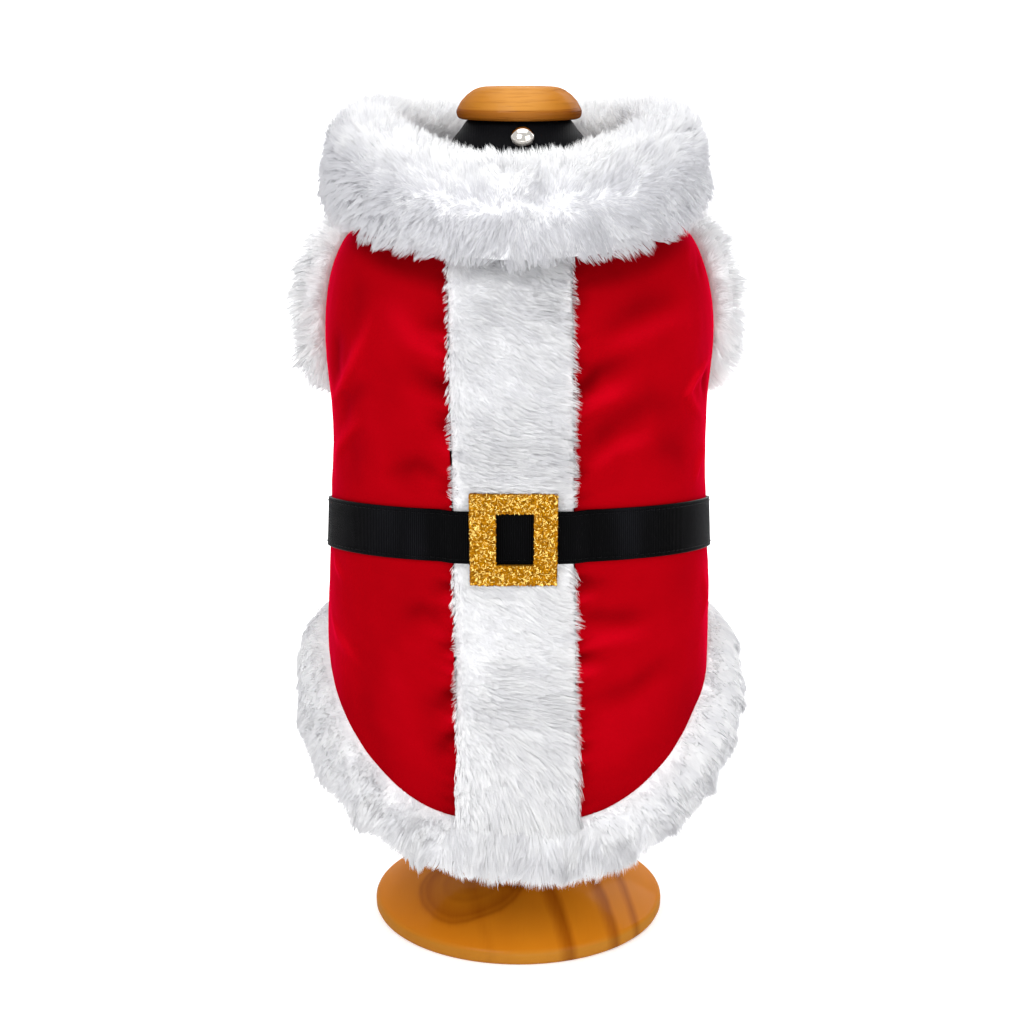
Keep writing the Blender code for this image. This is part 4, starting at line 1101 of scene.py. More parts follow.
    # Each lock's own random tone, less the painted shade of the shade grid.
    set_attribute(made, "tone", np.repeat(np.clip(lock_tone[of_lock] - dark, 0.0, 1.0), each))


def resample(table, count):
    """A pile table as count rows, on a smooth curve through its own rows."""
    curve = spline(table, 8)
    gaps = np.hypot(*np.diff(curve[:, 2:4], axis=0).T)
    run = np.concatenate([[0.0], np.cumsum(gaps)])
    even = np.linspace(0.0, run[-1], count)
    return np.stack([np.interp(even, run, curve[:, k]) for k in range(4)], axis=1)


def add_undercoat(name, rings, node):
    """A closed body under the pile, through closed sections that may come back to the first."""
    if np.allclose(rings[0], rings[-1], atol=1e-6):
        points, faces = rings[:-1], grid_faces(len(rings) - 1, rings.shape[1], True, True)
    else:
        points, faces = closed_tube(rings)
    add_mesh(name, points, faces, UNDERCOAT, [node], closed=True)


def collar_sizes(azimuth):
    """Heights of the collar's top and fall, its inner and outer radius, and the neck seam's."""
    folded = np.minimum(azimuth % 360.0, 360.0 - azimuth % 360.0)
    top = np.interp(folded, *np.array(COLLAR_TOP).T)
    fall = np.interp(folded, *np.array(COLLAR_FALL).T)
    return (top, fall, oval(azimuth, *COLLAR_INNER, 2.0), oval(azimuth, *COLLAR_OUTER, 2.3),
            oval(azimuth, *BODY[-1][1:]))


def collar_grid(azimuths, table, columns):
    """Roots or tips of the collar: a row for each azimuth, a column for each row of the table."""
    top, fall, inner, outer, _ = collar_sizes(azimuths[:, None])
    across, up = table[None, :, columns[0]], table[None, :, columns[1]]
    height = fall + (top - fall) * up
    height = np.where(across < 0.4, np.maximum(height, NECK_SEAM + 7.0), height)
    are_tips = columns[0] == 2
    swept = COLLAR_SWEEP * np.sin(np.radians(azimuths[:, None])) * are_tips
    outside = smooth_step(across, 0.5, 0.9)
    radius = inner + (outer - inner) * across
    grid = round_point(azimuths[:, None] + swept * outside, radius, height)
    grid[..., 0] += COLLAR_SHIFT
    return grid


def add_collar():
    """The deep fur collar: its fall over the coat, its stand round the neck, and their body."""
    azimuths = np.linspace(0.0, 360.0, 181)
    table = resample(COLLAR_PILE, 40)
    roots = collar_grid(azimuths, table, (0, 1))
    tips = collar_grid(azimuths, table, (2, 3))
    _, fall, inner, _, seat = collar_sizes(azimuths)
    over_placket = 1.0 - smooth_step(np.abs(around_back(azimuths)), 34.0, 42.0)
    base = NECK_SEAM + 0.6 + 2.1 * over_placket
    clear = np.array([
        np.hypot(*body_point(a, rise_at(f))[:2]) + 4.6 for a, f in zip(azimuths, fall)
    ])
    # The underside, from the neck opening outwards: radii and heights. It sits on the neck seam,
    # arches up inside, and comes down to the edge of the fall, clear of the coat.
    lining = [
        (inner + 5.5, base + 5.0), (seat + 0.4, base), (seat + 4.0, base), (seat + 8.0, base + 8.0),
        (seat + 12.0, base + 2.5), (np.maximum(clear, seat + 17.0), fall + 3.0),
    ]
    rings = np.concatenate([roots[:, ::2]] + [
        round_point(azimuths, radius, height)[:, None] for radius, height in lining
    ], axis=1)
    rings[-1] = rings[0]
    add_undercoat("collar_undercoat", rings, "collar")
    half = len(table) // 2
    way = np.linspace(0.0, 1.0, len(table))
    shade = COLLAR_SHADE * (1.0 - smooth_step(way, 0.12, 0.62))
    shade += PARTING_SHADE * np.exp(-((way - PARTING) / PARTING_WIDTH) ** 2)
    turn = np.abs(around_back(azimuths))
    side = smooth_step(turn, 30.0, 55.0) * (1.0 - smooth_step(turn, 105.0, 135.0))
    shade = shade + SHOULDER_SHADE * side[:, None] * smooth_step(way, 0.42, 0.60)
    lower, upper = slice(None, half + 1), slice(half, None)
    grow("collar_fall_fur", roots[:, lower], tips[:, lower], 48000, 21, shade=shade[:, lower],
         **FALL_LOCKS)
    grow("collar_stand_fur", roots[:, upper], tips[:, upper], 40000, 22, shade=shade[:, upper],
         **STAND_LOCKS)


def hem_grid(azimuths, table, columns):
    """Points of the hem's pile: square to the red edge, and off the body."""
    def edge(angle):
        return body_point(angle, rise_at(hem_height(angle)))

    start = edge(azimuths)
    normal = body_normal(azimuths, rise_at(hem_height(azimuths)))
    run = edge(azimuths + 0.5) - edge(azimuths - 0.5)
    down = unit(np.cross(normal, run))
    down = down * -np.sign(down[:, 2:])
    reach = np.interp(azimuths, *np.array(HEM_REACH).T)
    along, out = reach[:, None] * table[:, columns[0]], table[:, columns[1]]
    points = start[:, None] + down[:, None] * along[..., None]
    radial = np.degrees(np.arctan2(points[..., 0], -points[..., 1]))
    wall = body_point(radial, rise_at(points[..., 2]))
    return wall + normal[:, None] * (out + HEM_LEAN * along)[..., None]


def hanging(roots, tips, sag):
    """The tips, sunk by a share of the strands' length."""
    length = np.linalg.norm(tips - roots, axis=-1, keepdims=True)
    return tips + np.array([0.0, 0.0, -1.0]) * length * sag


def add_hem(name, first, last, rings, strands, seed, node):
    """A stretch of the hem band, from one azimuth to another."""
    azimuths = np.linspace(first, last, rings)
    table = resample(HEM_PILE, 26)
    roots, tips = hem_grid(azimuths, table, (0, 1)), hem_grid(azimuths, table, (2, 3))
    backing = hem_grid(azimuths, np.array(HEM_BACKING), (0, 1))
    add_undercoat(name + "_undercoat", np.concatenate([roots[:, ::2], backing], axis=1), node)
    grow(name + "_fur", roots, hanging(roots, tips, HEM_SAG), strands, seed, **HEM_LOCKS)


def cuff_grid(side, table, columns):
    """Points of an armhole band's pile: a row for each turn round it."""
    middle, out, around, up = armhole_frame(side)
    turns = np.radians(np.linspace(0.0, 360.0, 121))
    azimuths = side * np.linspace(80.0, 175.0, 800)
    rows = []
    for turn in turns:
        height = ARMHOLE_HEIGHT + ARMHOLE_HALF[1] * math.sin(turn)
        points = body_point(azimuths, rise_at(height))
        offset = (points - middle) @ around - ARMHOLE_HALF[0] * math.cos(turn)
        edge = points[np.argmin(np.abs(offset))]
        away = unit(around * math.cos(turn) * ARMHOLE_HALF[1]
                    + up * math.sin(turn) * ARMHOLE_HALF[0])
        rows.append(edge + away * table[:, columns[0], None] + out * table[:, columns[1], None])
    return np.array(rows)


def add_cuff(name, side, strands, seed, node):
    """The fur band round an armhole."""
    table = resample(CUFF_PILE, 24)
    roots, tips = cuff_grid(side, table, (0, 1)), cuff_grid(side, table, (2, 3))
    backing = cuff_grid(side, np.array(CUFF_BACKING), (0, 1))
    rings = np.concatenate([roots[:, ::2], backing], axis=1)
    rings[-1] = rings[0]
    add_undercoat(name + "_undercoat", rings, node)
    grow(name + "_fur", roots, hanging(roots, tips, CUFF_SAG), strands, seed, **CUFF_LOCKS)


def placket_surface(share, height, lift):
    """Points over the strip, at shares from -1 to 1 of the way from its middle to its edges."""
    rise = rise_at(height)
    x = placket_middle(height) + share * PLACKET_WIDTH / 2
    return on_body(azimuth_of_x(x, rise), rise, lift)


def buckle_frame():
    """Middle of the belt under the buckle, in x and height."""
    return placket_middle(BELT_HEIGHT), BELT_HEIGHT


# No strand stands within these half sizes of the buckle's middle, this near to the ribbon, or
# above this height.
UNDER_BUCKLE, RIBBON_MARGIN, PLACKET_TOP = (19.5, 20.5), 0.6, 371.0


def placket_stands(points):
    """Which places of the strip are clear of the ribbon, of the buckle and of the collar."""
    azimuth = np.degrees(np.arctan2(points[:, 0], -points[:, 1]))
    from_belt = np.abs(points[:, 2] - belt_height(azimuth))
    middle, height = buckle_frame()
    under_buckle = np.abs(points[:, 0] - middle) < UNDER_BUCKLE[0]
    under_buckle &= np.abs(points[:, 2] - height) < UNDER_BUCKLE[1]
    clear = (from_belt > RIBBON_WIDTH / 2 + RIBBON_MARGIN) & ~under_buckle
    return clear & (points[:, 2] < PLACKET_TOP)


def placket_comb(share, height):
    """How far the strip's pile is combed to the right, and how far down.

    It is combed straighter down below 150 mm, outwards at the left edge, hardly past the right
    one, more steeply near the collar and at the strip's end, and less just above the ribbon.
    """
    low = smooth_step(150.0 - height, 0.0, 60.0)
    right = 6.6 + 2.2 * np.sin(height / 13.0) * np.sin(height / 41.0 + 1.0)
    right = right * (1.0 - 0.45 * low)
    at_left = 1.0 - smooth_step(share, -1.0, -0.80)
    right = right * (1.0 - at_left) - 0.8 * at_left
    right = np.minimum(right, PLACKET_WIDTH / 2 * (1.0 - share) + 0.8)
    down = 2.3 + 1.3 * np.sin(height / 16.0 + 0.6)
    down += 5.0 * low + 2.0 * smooth_step(height, 335.0, 350.0) + 7.0 * placket_end(height)
    from_belt = height - BELT_HEIGHT
    above = (from_belt > 0) & (from_belt < 30.0)
    return right, np.where(above, down - 4.0 * smooth_step(30.0 - from_belt, 0.0, 14.0), down)


def placket_end(height):
    """0 up the strip and 1 at its lower end, where the pile falls over the hem band."""
    return smooth_step(101.0 - height, 0.0, 14.0)


def add_placket():
    """The fur strip down the middle of the back."""
    shares = np.linspace(-1.0, 1.0, 41)
    heights = np.linspace(HEM_BACK - 1.0, 368.0, 190)
    share, height = np.meshgrid(shares, heights)
    near_belt = smooth_step(np.abs(height - BELT_HEIGHT) - RIBBON_WIDTH / 2, -2.0, 5.0)
    tucked = 1.0 - 0.6 * smooth_step(height, 348.0, 360.0)
    pile = PLACKET_PILE * (0.34 + 0.66 * near_belt) * tucked
    rounding = np.sqrt(np.clip(1.0 - np.abs(share) ** 9, 0.0, 1.0))
    roots = placket_surface(share * 0.95, height, 0.5 + 0.36 * pile * rounding)
    right, down = placket_comb(share, height)
    tip_lift = 0.4 + pile * (0.80 + 0.20 * rounding) + 4.0 * placket_end(height)
    tips = placket_surface(share + right / (PLACKET_WIDTH / 2), height - down, tip_lift)
    inner = placket_surface(shares[None, ::5], heights[:, None], np.full((1, 1), -CLOTH + 0.1))
    rings = np.concatenate([roots[:, ::2], inner[:, ::-1]], axis=1)
    add_undercoat("placket_undercoat", rings[::2], "placket")
    shade = 0.20 * smooth_step(height, 190.0, 290.0) - 0.22
    grow("placket_fur", roots, tips, 46000, 31, shade=shade, keep=placket_stands,
         **PLACKET_LOCKS)


# ---------------------------------------------------------------- ribbon and buckle
RIB_PITCH, RIB_STEPS, RIB_DEPTH = 1.07, 5, 0.24
# Section of the ribbon: shares of the way up from its middle line, and of its thickness.
RIBBON_SECTION = (
    (-1.0, 0.15), (-1.0, 0.75), (-0.985, 1.0), (-0.93, 1.0), (-0.6, 1.0), (-0.2, 1.0),
    (0.2, 1.0), (0.6, 1.0), (0.93, 1.0), (0.985, 1.0), (1.0, 0.75), (1.0, 0.15), (0.0, 0.0),
)
BELT_DEGREE = 1.66  # millimetres to a degree along the ribbon
BELT_SAG, BELT_SAG_LENGTH = 0.125, 46.0  # height and length of the ribbon's slack waves
PRESSED_PILE = 2.808  # thickness of the strip's pile under the ribbon
STITCH_LENGTH, STITCH_GAP, STITCH_INSET, STITCH_RADIUS = 2.5, 0.8, 2.0, 0.21
STITCH_BULGE = (-0.10, 0.10, 0.16, 0.10, -0.10)  # along a stitch, off the ribbon


def belt_lift(azimuth):
    """How far the ribbon's inner face stands off the coat's plain surface."""
    height = belt_height(azimuth)
    x = body_point(azimuth, rise_at(height))[..., 0]
    off_strip = np.abs(x - placket_middle(height)) - PLACKET_WIDTH / 2
    return 0.6 + PRESSED_PILE * (1.0 - smooth_step(off_strip, -2.0, 7.0))


def belt_sag(azimuth):
    """How far the ribbon wavers from its place over the coat."""
    line = round_point(azimuth, MEAN_RADIUS, belt_height(azimuth))
    return BELT_SAG * waves(line, BELT_SAG_LENGTH, 8)


def add_belt():
    """The grosgrain ribbon round the back, with its stitches."""
    reach = SIDE_SEAM - 1.5
    rough = np.linspace(-reach, reach, 400)
    line = on_body(rough, rise_at(belt_height(rough)), belt_lift(rough))
    run = np.concatenate([[0.0], np.cumsum(np.linalg.norm(np.diff(line, axis=0), axis=1))])
    length = run[-1]
    count = int(length / RIB_PITCH) * RIB_STEPS
    azimuth = np.interp(np.linspace(0.0, length, count + 1), run, rough)
    phase = np.arange(count + 1) / RIB_STEPS * 2 * math.pi
    ribs = RIB_DEPTH * (0.5 + 0.5 * np.cos(phase))
    middle = belt_height(azimuth)
    lift, sag = belt_lift(azimuth), belt_sag(azimuth)
    rings = []
    for up, out in RIBBON_SECTION:
        height = middle + up * RIBBON_WIDTH / 2
        ribbed = ribs if abs(up) < 0.95 and out == 1.0 else 0.0
        off = lift + out * RIBBON_THICKNESS - ribbed + sag
        rings.append(on_body(azimuth, rise_at(height), off))
    rings = np.stack(rings, axis=1)
    around = len(RIBBON_SECTION)
    faces = [tuple(face) for face in grid_faces(count + 1, around, False, True)]
    faces += [tuple(range(around)), tuple(reversed(range(count * around, (count + 1) * around)))]
    made = add_mesh("ribbon", rings, faces, RIBBON, ["belt"], 60.0, closed=True)
    set_attribute(made, "rib", np.repeat(1.0 - ribs / RIB_DEPTH, around))
    add_stitches(reach)


def add_stitches(reach):
    """A row of stitches along each edge of the ribbon, and one up each of its ends."""
    every, long = STITCH_LENGTH + STITCH_GAP, STITCH_LENGTH
    places = len(STITCH_BULGE)
    rows = []
    for row in (-1, 1):
        up = row * (RIBBON_WIDTH / 2 - STITCH_INSET)
        for start in np.arange(-reach + 2.2, reach - 2.0, every / BELT_DEGREE):
            run = np.linspace(start, start + long / BELT_DEGREE, places)
            rows.append((run, belt_height(run) + up))
    for end in (-1, 1):
        at = end * (reach - 1.3)
        low = float(belt_height(at)) - RIBBON_WIDTH / 2 + STITCH_INSET
        for start in np.arange(low, low + RIBBON_WIDTH - 2 * STITCH_INSET - 2.0, every):
            rows.append((np.full(places, at), np.linspace(start, start + long, places)))
    tubes = []
    for run, height in rows:
        lift = belt_lift(run) + RIBBON_THICKNESS + belt_sag(run) + np.array(STITCH_BULGE)
        normals = body_normal(run, rise_at(height))
        tubes.append(tube(on_body(run, rise_at(height), lift), STITCH_RADIUS, 5, normals))
    add_mesh("ribbon_stitches", *merged(tubes), THREAD)


def tube(line, radius, sides, normals):
    """A thin tube along a line, with pointed ends."""
    way = unit(np.gradient(line, axis=0))
    first = unit(np.cross(way, normals))
    second = np.cross(first, way)
    turns = np.arange(sides) / sides * 2 * math.pi
    fat = np.sin(np.linspace(0.12, 1.0 - 0.12, len(line)) * math.pi) ** 0.35
    ring = (np.cos(turns)[None, :, None] * first[:, None] + np.sin(turns)[None, :, None]
            * second[:, None]) * (radius * fat)[:, None, None]
    return (line[:, None] + ring), grid_faces(len(line), sides, False, True)


BUCKLE_TOP_WIDTH, BUCKLE_FOOT_WIDTH, BUCKLE_HEIGHT = 41.6, 40.8, 44.3
BUCKLE_WINDOW, BUCKLE_WINDOW_SHIFT = (17.8, 25.0), 0.7
BUCKLE_CORNER = 0.9
# Section of the slide: how far its gold moves out, the share of its depth, and if at the window.
BUCKLE_SECTION = (
    (0.0, 0.0, False), (0.0, 0.72, False), (-0.25, 0.93, False), (-0.7, 1.0, False),
    (-0.7, 1.0, True), (-0.25, 0.93, True), (0.0, 0.72, True), (0.0, 0.0, True),
)
# Glitter: how many chips of a kind there are, how long and how wide they are, and their tilt.
CHIPS = (
    ("large", 3200, 1.5, 1.1, 0.15), ("small", 3600, 0.75, 0.6, 0.26),
    ("glint", 1300, 1.7, 0.28, 0.12),
)
CHIP_FIELD, CHIP_MARGIN = (21.0, 22.2), 0.3  # half sizes of their field, and how far from an edge
CHIP_CORNERS = 6
RIM_CHIPS, RIM_CHIP_SIZE = 1500, (0.7, 0.6)


def buckle_half_width(up):
    share = (up + BUCKLE_HEIGHT / 2) / BUCKLE_HEIGHT
    return (BUCKLE_FOOT_WIDTH + (BUCKLE_TOP_WIDTH - BUCKLE_FOOT_WIDTH) * share) / 2


def buckle_corners(out, inside):
    """Corners of the slide's outline, or of its window, once its gold is moved out by a distance."""
    if inside:
        wide, up = BUCKLE_WINDOW[0] / 2 - out, BUCKLE_WINDOW[1] / 2 - out
        left, right = BUCKLE_WINDOW_SHIFT - wide, BUCKLE_WINDOW_SHIFT + wide
        return [(left, -up), (right, -up), (right, up), (left, up)]
    up = BUCKLE_HEIGHT / 2 + out
    foot, top = buckle_half_width(-up) + out, buckle_half_width(up) + out
    return [(-foot, -up), (foot, -up), (top, up), (-top, up)]


def rounded(corners, radius, steps=5):
    """A loop through four corners, each turned on a small arc."""
    made = []
    for k in range(4):
        here, before, after = (np.array(corners[j % 4]) for j in (k, k - 1, k + 1))
        a, b = unit(before - here) * radius, unit(after - here) * radius
        for t in np.linspace(0, 1, steps):
            made.append(here + a * (1 - t) ** 2 + b * t**2)
    return np.array(made)


def face_chips(rng, middle, height, front):
    """For each kind of chip on the front: centres, facings, lengths, widths and tones."""
    kinds = []
    for kind, count, long, wide, tilt in CHIPS:
        x, z = (rng.uniform(-half, half, count * 3) for half in CHIP_FIELD)
        inside = np.abs(x) < buckle_half_width(z) - CHIP_MARGIN
        inside &= np.abs(z) < BUCKLE_HEIGHT / 2 - CHIP_MARGIN
        window = np.abs(x - BUCKLE_WINDOW_SHIFT) < BUCKLE_WINDOW[0] / 2 + CHIP_MARGIN
        window &= np.abs(z) < BUCKLE_WINDOW[1] / 2 + CHIP_MARGIN
        chosen = np.flatnonzero(inside & ~window)[:count]
        count = len(chosen)
        glints = kind == "glint"
        depth = front - 0.12 + rng.uniform(-0.30, 0.12, count) - 0.1 * glints
        centre = np.column_stack([middle + x[chosen], depth, height + z[chosen]])
        spread = rng.normal(size=centre.shape) * (tilt, 0.0, tilt)
        facing = unit(np.array([0.0, -1.0, 0.0]) + spread)
        # Glints take the palest gold, partly a painted glint.
        tone = rng.uniform(0.85, 1.0, count) if glints else rng.uniform(0.0, 0.9, count)
        kinds.append((centre, facing, np.full(count, long), np.full(count, wide), tone))
    return kinds


def rim_chips(rng, middle, height, front, back):
    """The same for the chips on the four outer sides."""
    rim = rng.choice([-1, 1], size=(RIM_CHIPS, 2))
    around = rng.uniform(-1, 1, RIM_CHIPS)
    upright = rim[:, :1] > 0
    sides = np.where(upright, np.column_stack([
        rim[:, 1] * buckle_half_width(around * BUCKLE_HEIGHT / 2), around * BUCKLE_HEIGHT / 2
    ]), np.column_stack([around * BUCKLE_FOOT_WIDTH / 2, rim[:, 1] * BUCKLE_HEIGHT / 2]))
    out = np.where(upright, np.column_stack([rim[:, 1], 0 * around]),
                   np.column_stack([0 * around, rim[:, 1]]))
    facing = unit(np.column_stack([out[:, 0], 0 * around, out[:, 1]])
                  + rng.normal(size=(RIM_CHIPS, 3)) * 0.4)
    centre = np.column_stack([
        middle + sides[:, 0], rng.uniform(front, back, RIM_CHIPS), height + sides[:, 1]
    ]) + facing * 0.05
    long, wide = (np.full(RIM_CHIPS, size) for size in RIM_CHIP_SIZE)
    return centre, facing, long, wide, rng.uniform(0.0, 0.9, RIM_CHIPS)


def add_buckle():
    """The slide with its window, and the glitter on its front and round its rim."""
    low, high = (np.array(corner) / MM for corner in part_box("buckle"))
    middle, height = buckle_frame()
    front, back = low[1], high[1]
    loops = []
    for out, share, inside in BUCKLE_SECTION:
        loop = rounded(buckle_corners(out, inside), BUCKLE_CORNER)
        depth = np.full(len(loop), back + (front - back) * share)
        loops.append(np.column_stack([middle + loop[:, 0], depth, height + loop[:, 1]]))
    faces = grid_faces(len(loops), len(loops[0]), True, True)
    add_mesh("buckle_slide", np.array(loops), faces, GOLD_GROUND, ["buckle"], 50.0, closed=True)

    rng = np.random.default_rng(5)
    kinds = face_chips(rng, middle, height, front)
    kinds.append(rim_chips(rng, middle, height, front, back))
    centre, facing, long, wide, tone = (np.concatenate(values) for values in zip(*kinds))
    count = len(centre)
    side = unit(np.cross(facing, rng.normal(size=(count, 3))))
    other = np.cross(facing, side)
    points = []
    for turn in np.radians(np.arange(CHIP_CORNERS) * 360.0 / CHIP_CORNERS):
        points.append(centre + side * math.cos(turn) * long[:, None] / 2
                      + other * math.sin(turn) * wide[:, None] / 2)
    points = np.stack(points, axis=1)
    pattern = np.array([(0, 1, 2, 3), (0, 3, 4, 5)])
    quads = (pattern[None] + (np.arange(count) * CHIP_CORNERS)[:, None, None]).reshape(-1, 4)
    flakes = add_mesh("buckle_glitter", points, quads, GLITTER)
    flakes.data.shade_flat()
    set_attribute(flakes, "tone", np.repeat(tone, CHIP_CORNERS))


# ---------------------------------------------------------------- the form and its stand
# Profiles of the turned pieces, from the top down: radii and heights.
CAP = (
    (0.0, 433.0), (12.0, 433.0), (18.0, 432.9), (20.2, 432.4), (22.6, 431.4), (25.8, 429.1),
    (28.6, 426.0), (30.2, 423.0), (30.55, 422.2), (30.85, 421.6), (30.9, 420.4), (30.5, 418.7),
    (29.8, 417.9), (28.8, 417.5), (0.0, 417.5),
)
POST = (
    (0.0, 71.7), (21.4, 71.7), (22.0, 71.2), (22.0, 69.2), (20.6, 67.2), (15.8, 64.6),
    (12.8, 60.6), (12.0, 56.0), (12.0, 44.0), (13.2, 37.0), (16.6, 31.2), (22.0, 27.2),
    (28.4, 24.9), (29.8, 24.1), (30.0, 23.3), (29.6, 22.3), (0.0, 22.3),
)
BASE = (
    (0.0, 22.0), (31.0, 22.0), (36.0, 21.7), (48.0, 19.4), (60.0, 15.7), (68.6, 11.7),
    (72.8, 9.4), (74.8, 8.3), (75.7, 7.7), (76.4, 6.9), (76.8, 6.0), (77.0, 4.6), (76.9, 2.2),
    (76.2, 0.8), (75.4, 0.1), (74.6, 0.0), (0.0, 0.0),
)
STUD = (
    (0.0, 4.6), (1.4, 4.5), (2.8, 4.1), (4.1, 3.4), (5.1, 2.4), (5.7, 1.4), (5.8, 0.8),
    (5.5, 0.2), (4.8, 0.0), (0.0, 0.0),
)
# Where the stud's foot is, how far its face looks up, and how far it stands off the form.
STUD_PLACE, STUD_TILT, STUD_OFF = (1.5, -31.3, 409.6), 37.0, 0.4


def add_turned(name, profile, finish, node, segments=128, sharp_above=32.0):
    """A turned piece from its profile."""
    turns = np.arange(segments) / segments * 360.0
    rings = np.array([
        round_point(turns, np.full(segments, radius), height) for radius, height in profile[1:-1]
    ])
    top, bottom = ((0.0, 0.0, height) for _, height in (profile[0], profile[-1]))
    points, faces = closed_tube(rings, top, bottom)
    return add_mesh(name, points, faces, finish, [node], sharp_above, closed=True)


def add_stand():
    """Base, post, neck cap, and the stud on the form's neck."""
    add_turned("turned_base", BASE, BASE_WOOD, "base", 160)
    add_turned("turned_post", POST, BASE_WOOD, "post", 72)
    add_turned("turned_cap", CAP, CAP_WOOD, "neck_cap", 128, 14.0)
    stud = add_turned("domed_stud", STUD, STEEL, "neck_stud", 64, 60.0)
    tilt = math.radians(STUD_TILT)
    place = Matrix.Translation(Vector(STUD_PLACE) * MM)
    out = Vector((0.0, -math.cos(tilt), math.sin(tilt))) * STUD_OFF
    turn = Matrix.Rotation(math.radians(90.0 - STUD_TILT), 4, "X")
    stud.matrix_world = Matrix.Translation(out * MM) @ place @ turn


# The form: how far it stays under the cloth at a height; its rounded lower end, as heights and
# shares of its section at RUMP_TOP; and heights and radii of its neck.
FORM_EASE = ((318.0, 4.6), (338.0, 4.0), (351.0, 0.6), (371.5, 0.6), (375.0, 2.2))
RUMP = ((72.0, 0.36), (73.5, 0.50), (78.0, 0.66), (86.0, 0.79), (97.0, 0.88))
RUMP_TOP = 112.0
NECK = (
    (378.0, 46.5), (388.0, 41.0), (398.0, 37.0), (407.0, 33.0), (412.5, 28.8), (416.2, 26.2),
    (417.2, 24.5),
)


def add_form():
    """The jersey-covered dress form, closed over the post and under the cap."""
    around = np.arange(0.0, 360.0, 3.0)
    rows = []
    for height, share in RUMP:
        ring = on_body(around, rise_at(RUMP_TOP), -CLOTH - FORM_EASE[0][1])
        ring[:, :2] *= share
        ring[:, 2] = height
        rows.append(ring)
    for height in [RUMP_TOP, *(row[0] for row in BODY if row[0] > RUMP_TOP)]:
        ease = np.interp(height, *np.array(FORM_EASE).T)
        rows.append(on_body(around, rise_at(height), np.full(len(around), -CLOTH - ease)))
    for height, radius in NECK:
        rows.append(round_point(around, np.full(len(around), radius), height))
    rows = np.array(rows)
    fine = spline(rows.reshape(len(rows), -1), 3).reshape(-1, len(around), 3)
    add_mesh("form_cover", *closed_tube(fine), JERSEY, ["form_body"], 50.0, closed=True)


# ---------------------------------------------------------------- stage
CAMERA_PLACE = (-3.5, -985.0, 463.3)
CAMERA_PITCH = 14.0
FOCAL_PIXELS, FRAME_PIXELS = 1962.0, 1024.0
SENSOR_WIDTH, CLIP_START, CLIP_END = 36.0, 0.02, 30.0


def add_camera():
    """The view of the photo."""
    data = bpy.data.cameras.new("camera")
    data.sensor_width = SENSOR_WIDTH
    data.lens = FOCAL_PIXELS / FRAME_PIXELS * SENSOR_WIDTH
    data.clip_start, data.clip_end = CLIP_START, CLIP_END
    camera = bpy.data.objects.new("camera", data)
    camera.location = Vector(CAMERA_PLACE) * MM
    camera.rotation_euler = (math.radians(90.0 - CAMERA_PITCH), 0.0, 0.0)
    bpy.context.scene.collection.objects.link(camera)
    bpy.context.scene.camera = camera


def add_floor():
    """A pale sheet that runs back and curves up behind the object."""
    near, bend, back, tall, wide = -3000.0, 900.0, 1500.0, 3000.0, 4000.0
    line = [(near, 0.0), (back - bend, 0.0)]
    line += [(back - bend + bend * math.sin(a), bend * (1 - math.cos(a)))
             for a in np.linspace(0.1, math.pi / 2, 14)]
    line.append((back, tall))
    below = 0.05  # keeps the floor clear of the base's underside
    points = np.array([[(-wide, y, z - below), (wide, y, z - below)] for y, z in line])
    mesh = bpy.data.meshes.new("floor")
    mesh.from_pydata((points.reshape(-1, 3) * MM).tolist(), [],
                     [tuple(int(i) for i in f) for f in grid_faces(len(line), 2)])
    mesh.materials.append(paper("floor_paper", (0.93, 0.93, 0.935)))
    mesh.shade_smooth()
    floor = bpy.data.objects.new("floor", mesh)
    bpy.context.scene.collection.objects.link(floor)


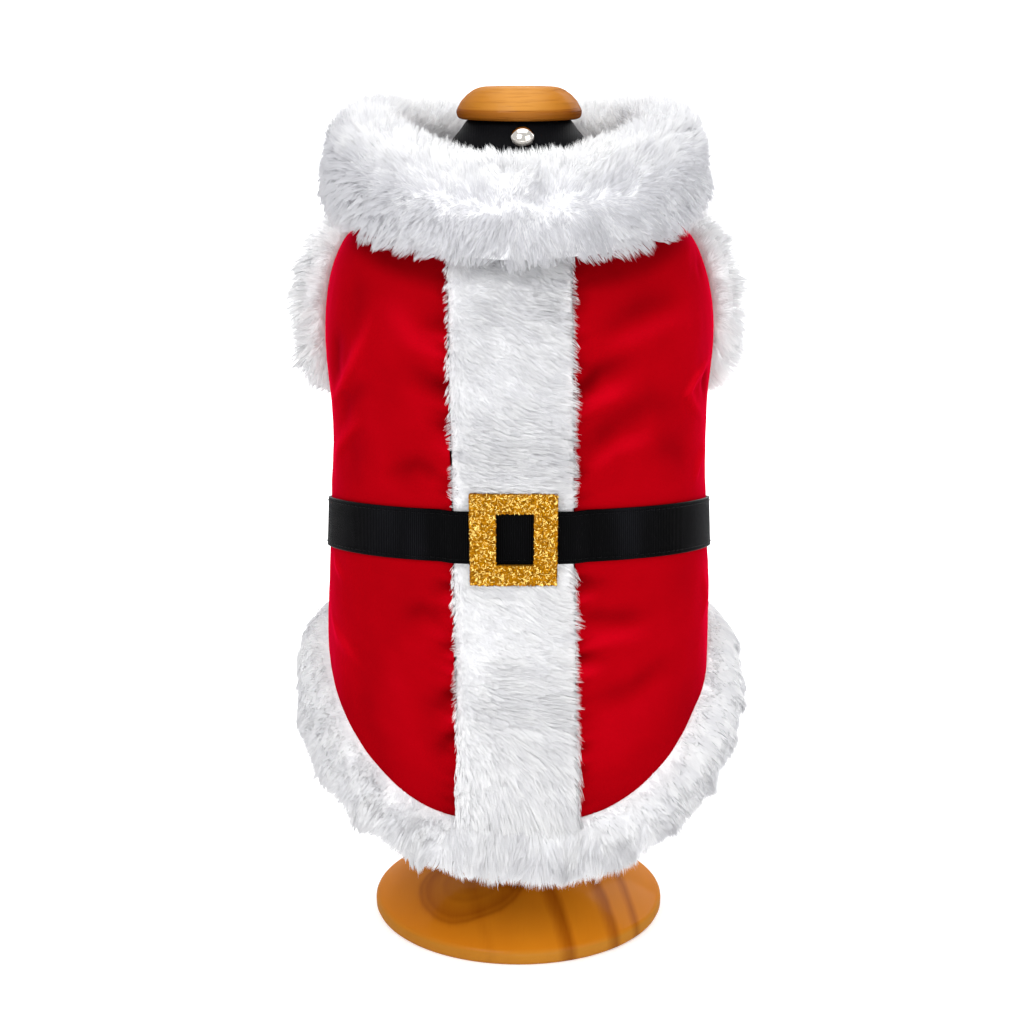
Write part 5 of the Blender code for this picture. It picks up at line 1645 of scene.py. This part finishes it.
SKY_COLOUR, SKY_STRENGTH = (0.97, 0.98, 1.0, 1.0), 0.73
# Name, place, aim, size and power of each light.
LIGHTS = (
    ("key", (-700.0, -1300.0, 1500.0), (0.0, 0.0, 230.0), (1000.0, 900.0), 18.4),
    ("fill", (1200.0, -1100.0, 1000.0), (0.0, 0.0, 260.0), (1200.0, 1200.0), 9.6),
    ("low", (100.0, -1500.0, 200.0), (0.0, 0.0, 150.0), (1500.0, 350.0), 6.0),
    ("top", (0.0, 200.0, 1700.0), (0.0, 0.0, 230.0), (1400.0, 1400.0), 11.0),
    ("rim", (900.0, 1100.0, 900.0), (0.0, 0.0, 230.0), (900.0, 900.0), 8.0),
)


def add_lights():
    """Five soft lights, and a pale sky."""
    for name, place, aim, size, power in LIGHTS:
        data = bpy.data.lights.new(name, "AREA")
        data.shape = "RECTANGLE"
        data.size, data.size_y = size[0] * MM, size[1] * MM
        data.energy = power
        light = bpy.data.objects.new(name, data)
        light.location = Vector(place) * MM
        light.rotation_euler = (Vector(aim) - Vector(place)).to_track_quat("-Z", "Y").to_euler()
        bpy.context.scene.collection.objects.link(light)
    world = bpy.data.worlds.new("studio")
    world.use_nodes = True
    sky = world.node_tree.nodes["Background"]
    sky.inputs["Color"].default_value = SKY_COLOUR
    sky.inputs["Strength"].default_value = SKY_STRENGTH
    bpy.context.scene.world = world
    bpy.context.scene.view_settings.view_transform = "Standard"


def main():
    add_form()
    add_stand()
    add_back_panel("left_velvet", -1, "back_panel_left")
    add_back_panel("right_velvet", 1, "back_panel_right")
    add_belly_panel()
    add_placket()
    add_belt()
    add_buckle()
    add_collar()
    seam = SIDE_SEAM - BAND_GAP
    add_hem("hem_back", -seam, seam, 141, 48000, 41, "hem_band_back")
    seam = SIDE_SEAM + BAND_GAP
    add_hem("hem_belly", seam, 360.0 - seam, 101, 17000, 42, "hem_band_belly")
    add_cuff("cuff_left", -1, 13000, 51, "cuff_left")
    add_cuff("cuff_right", 1, 13000, 52, "cuff_right")
    add_camera()
    add_floor()
    add_lights()


main()
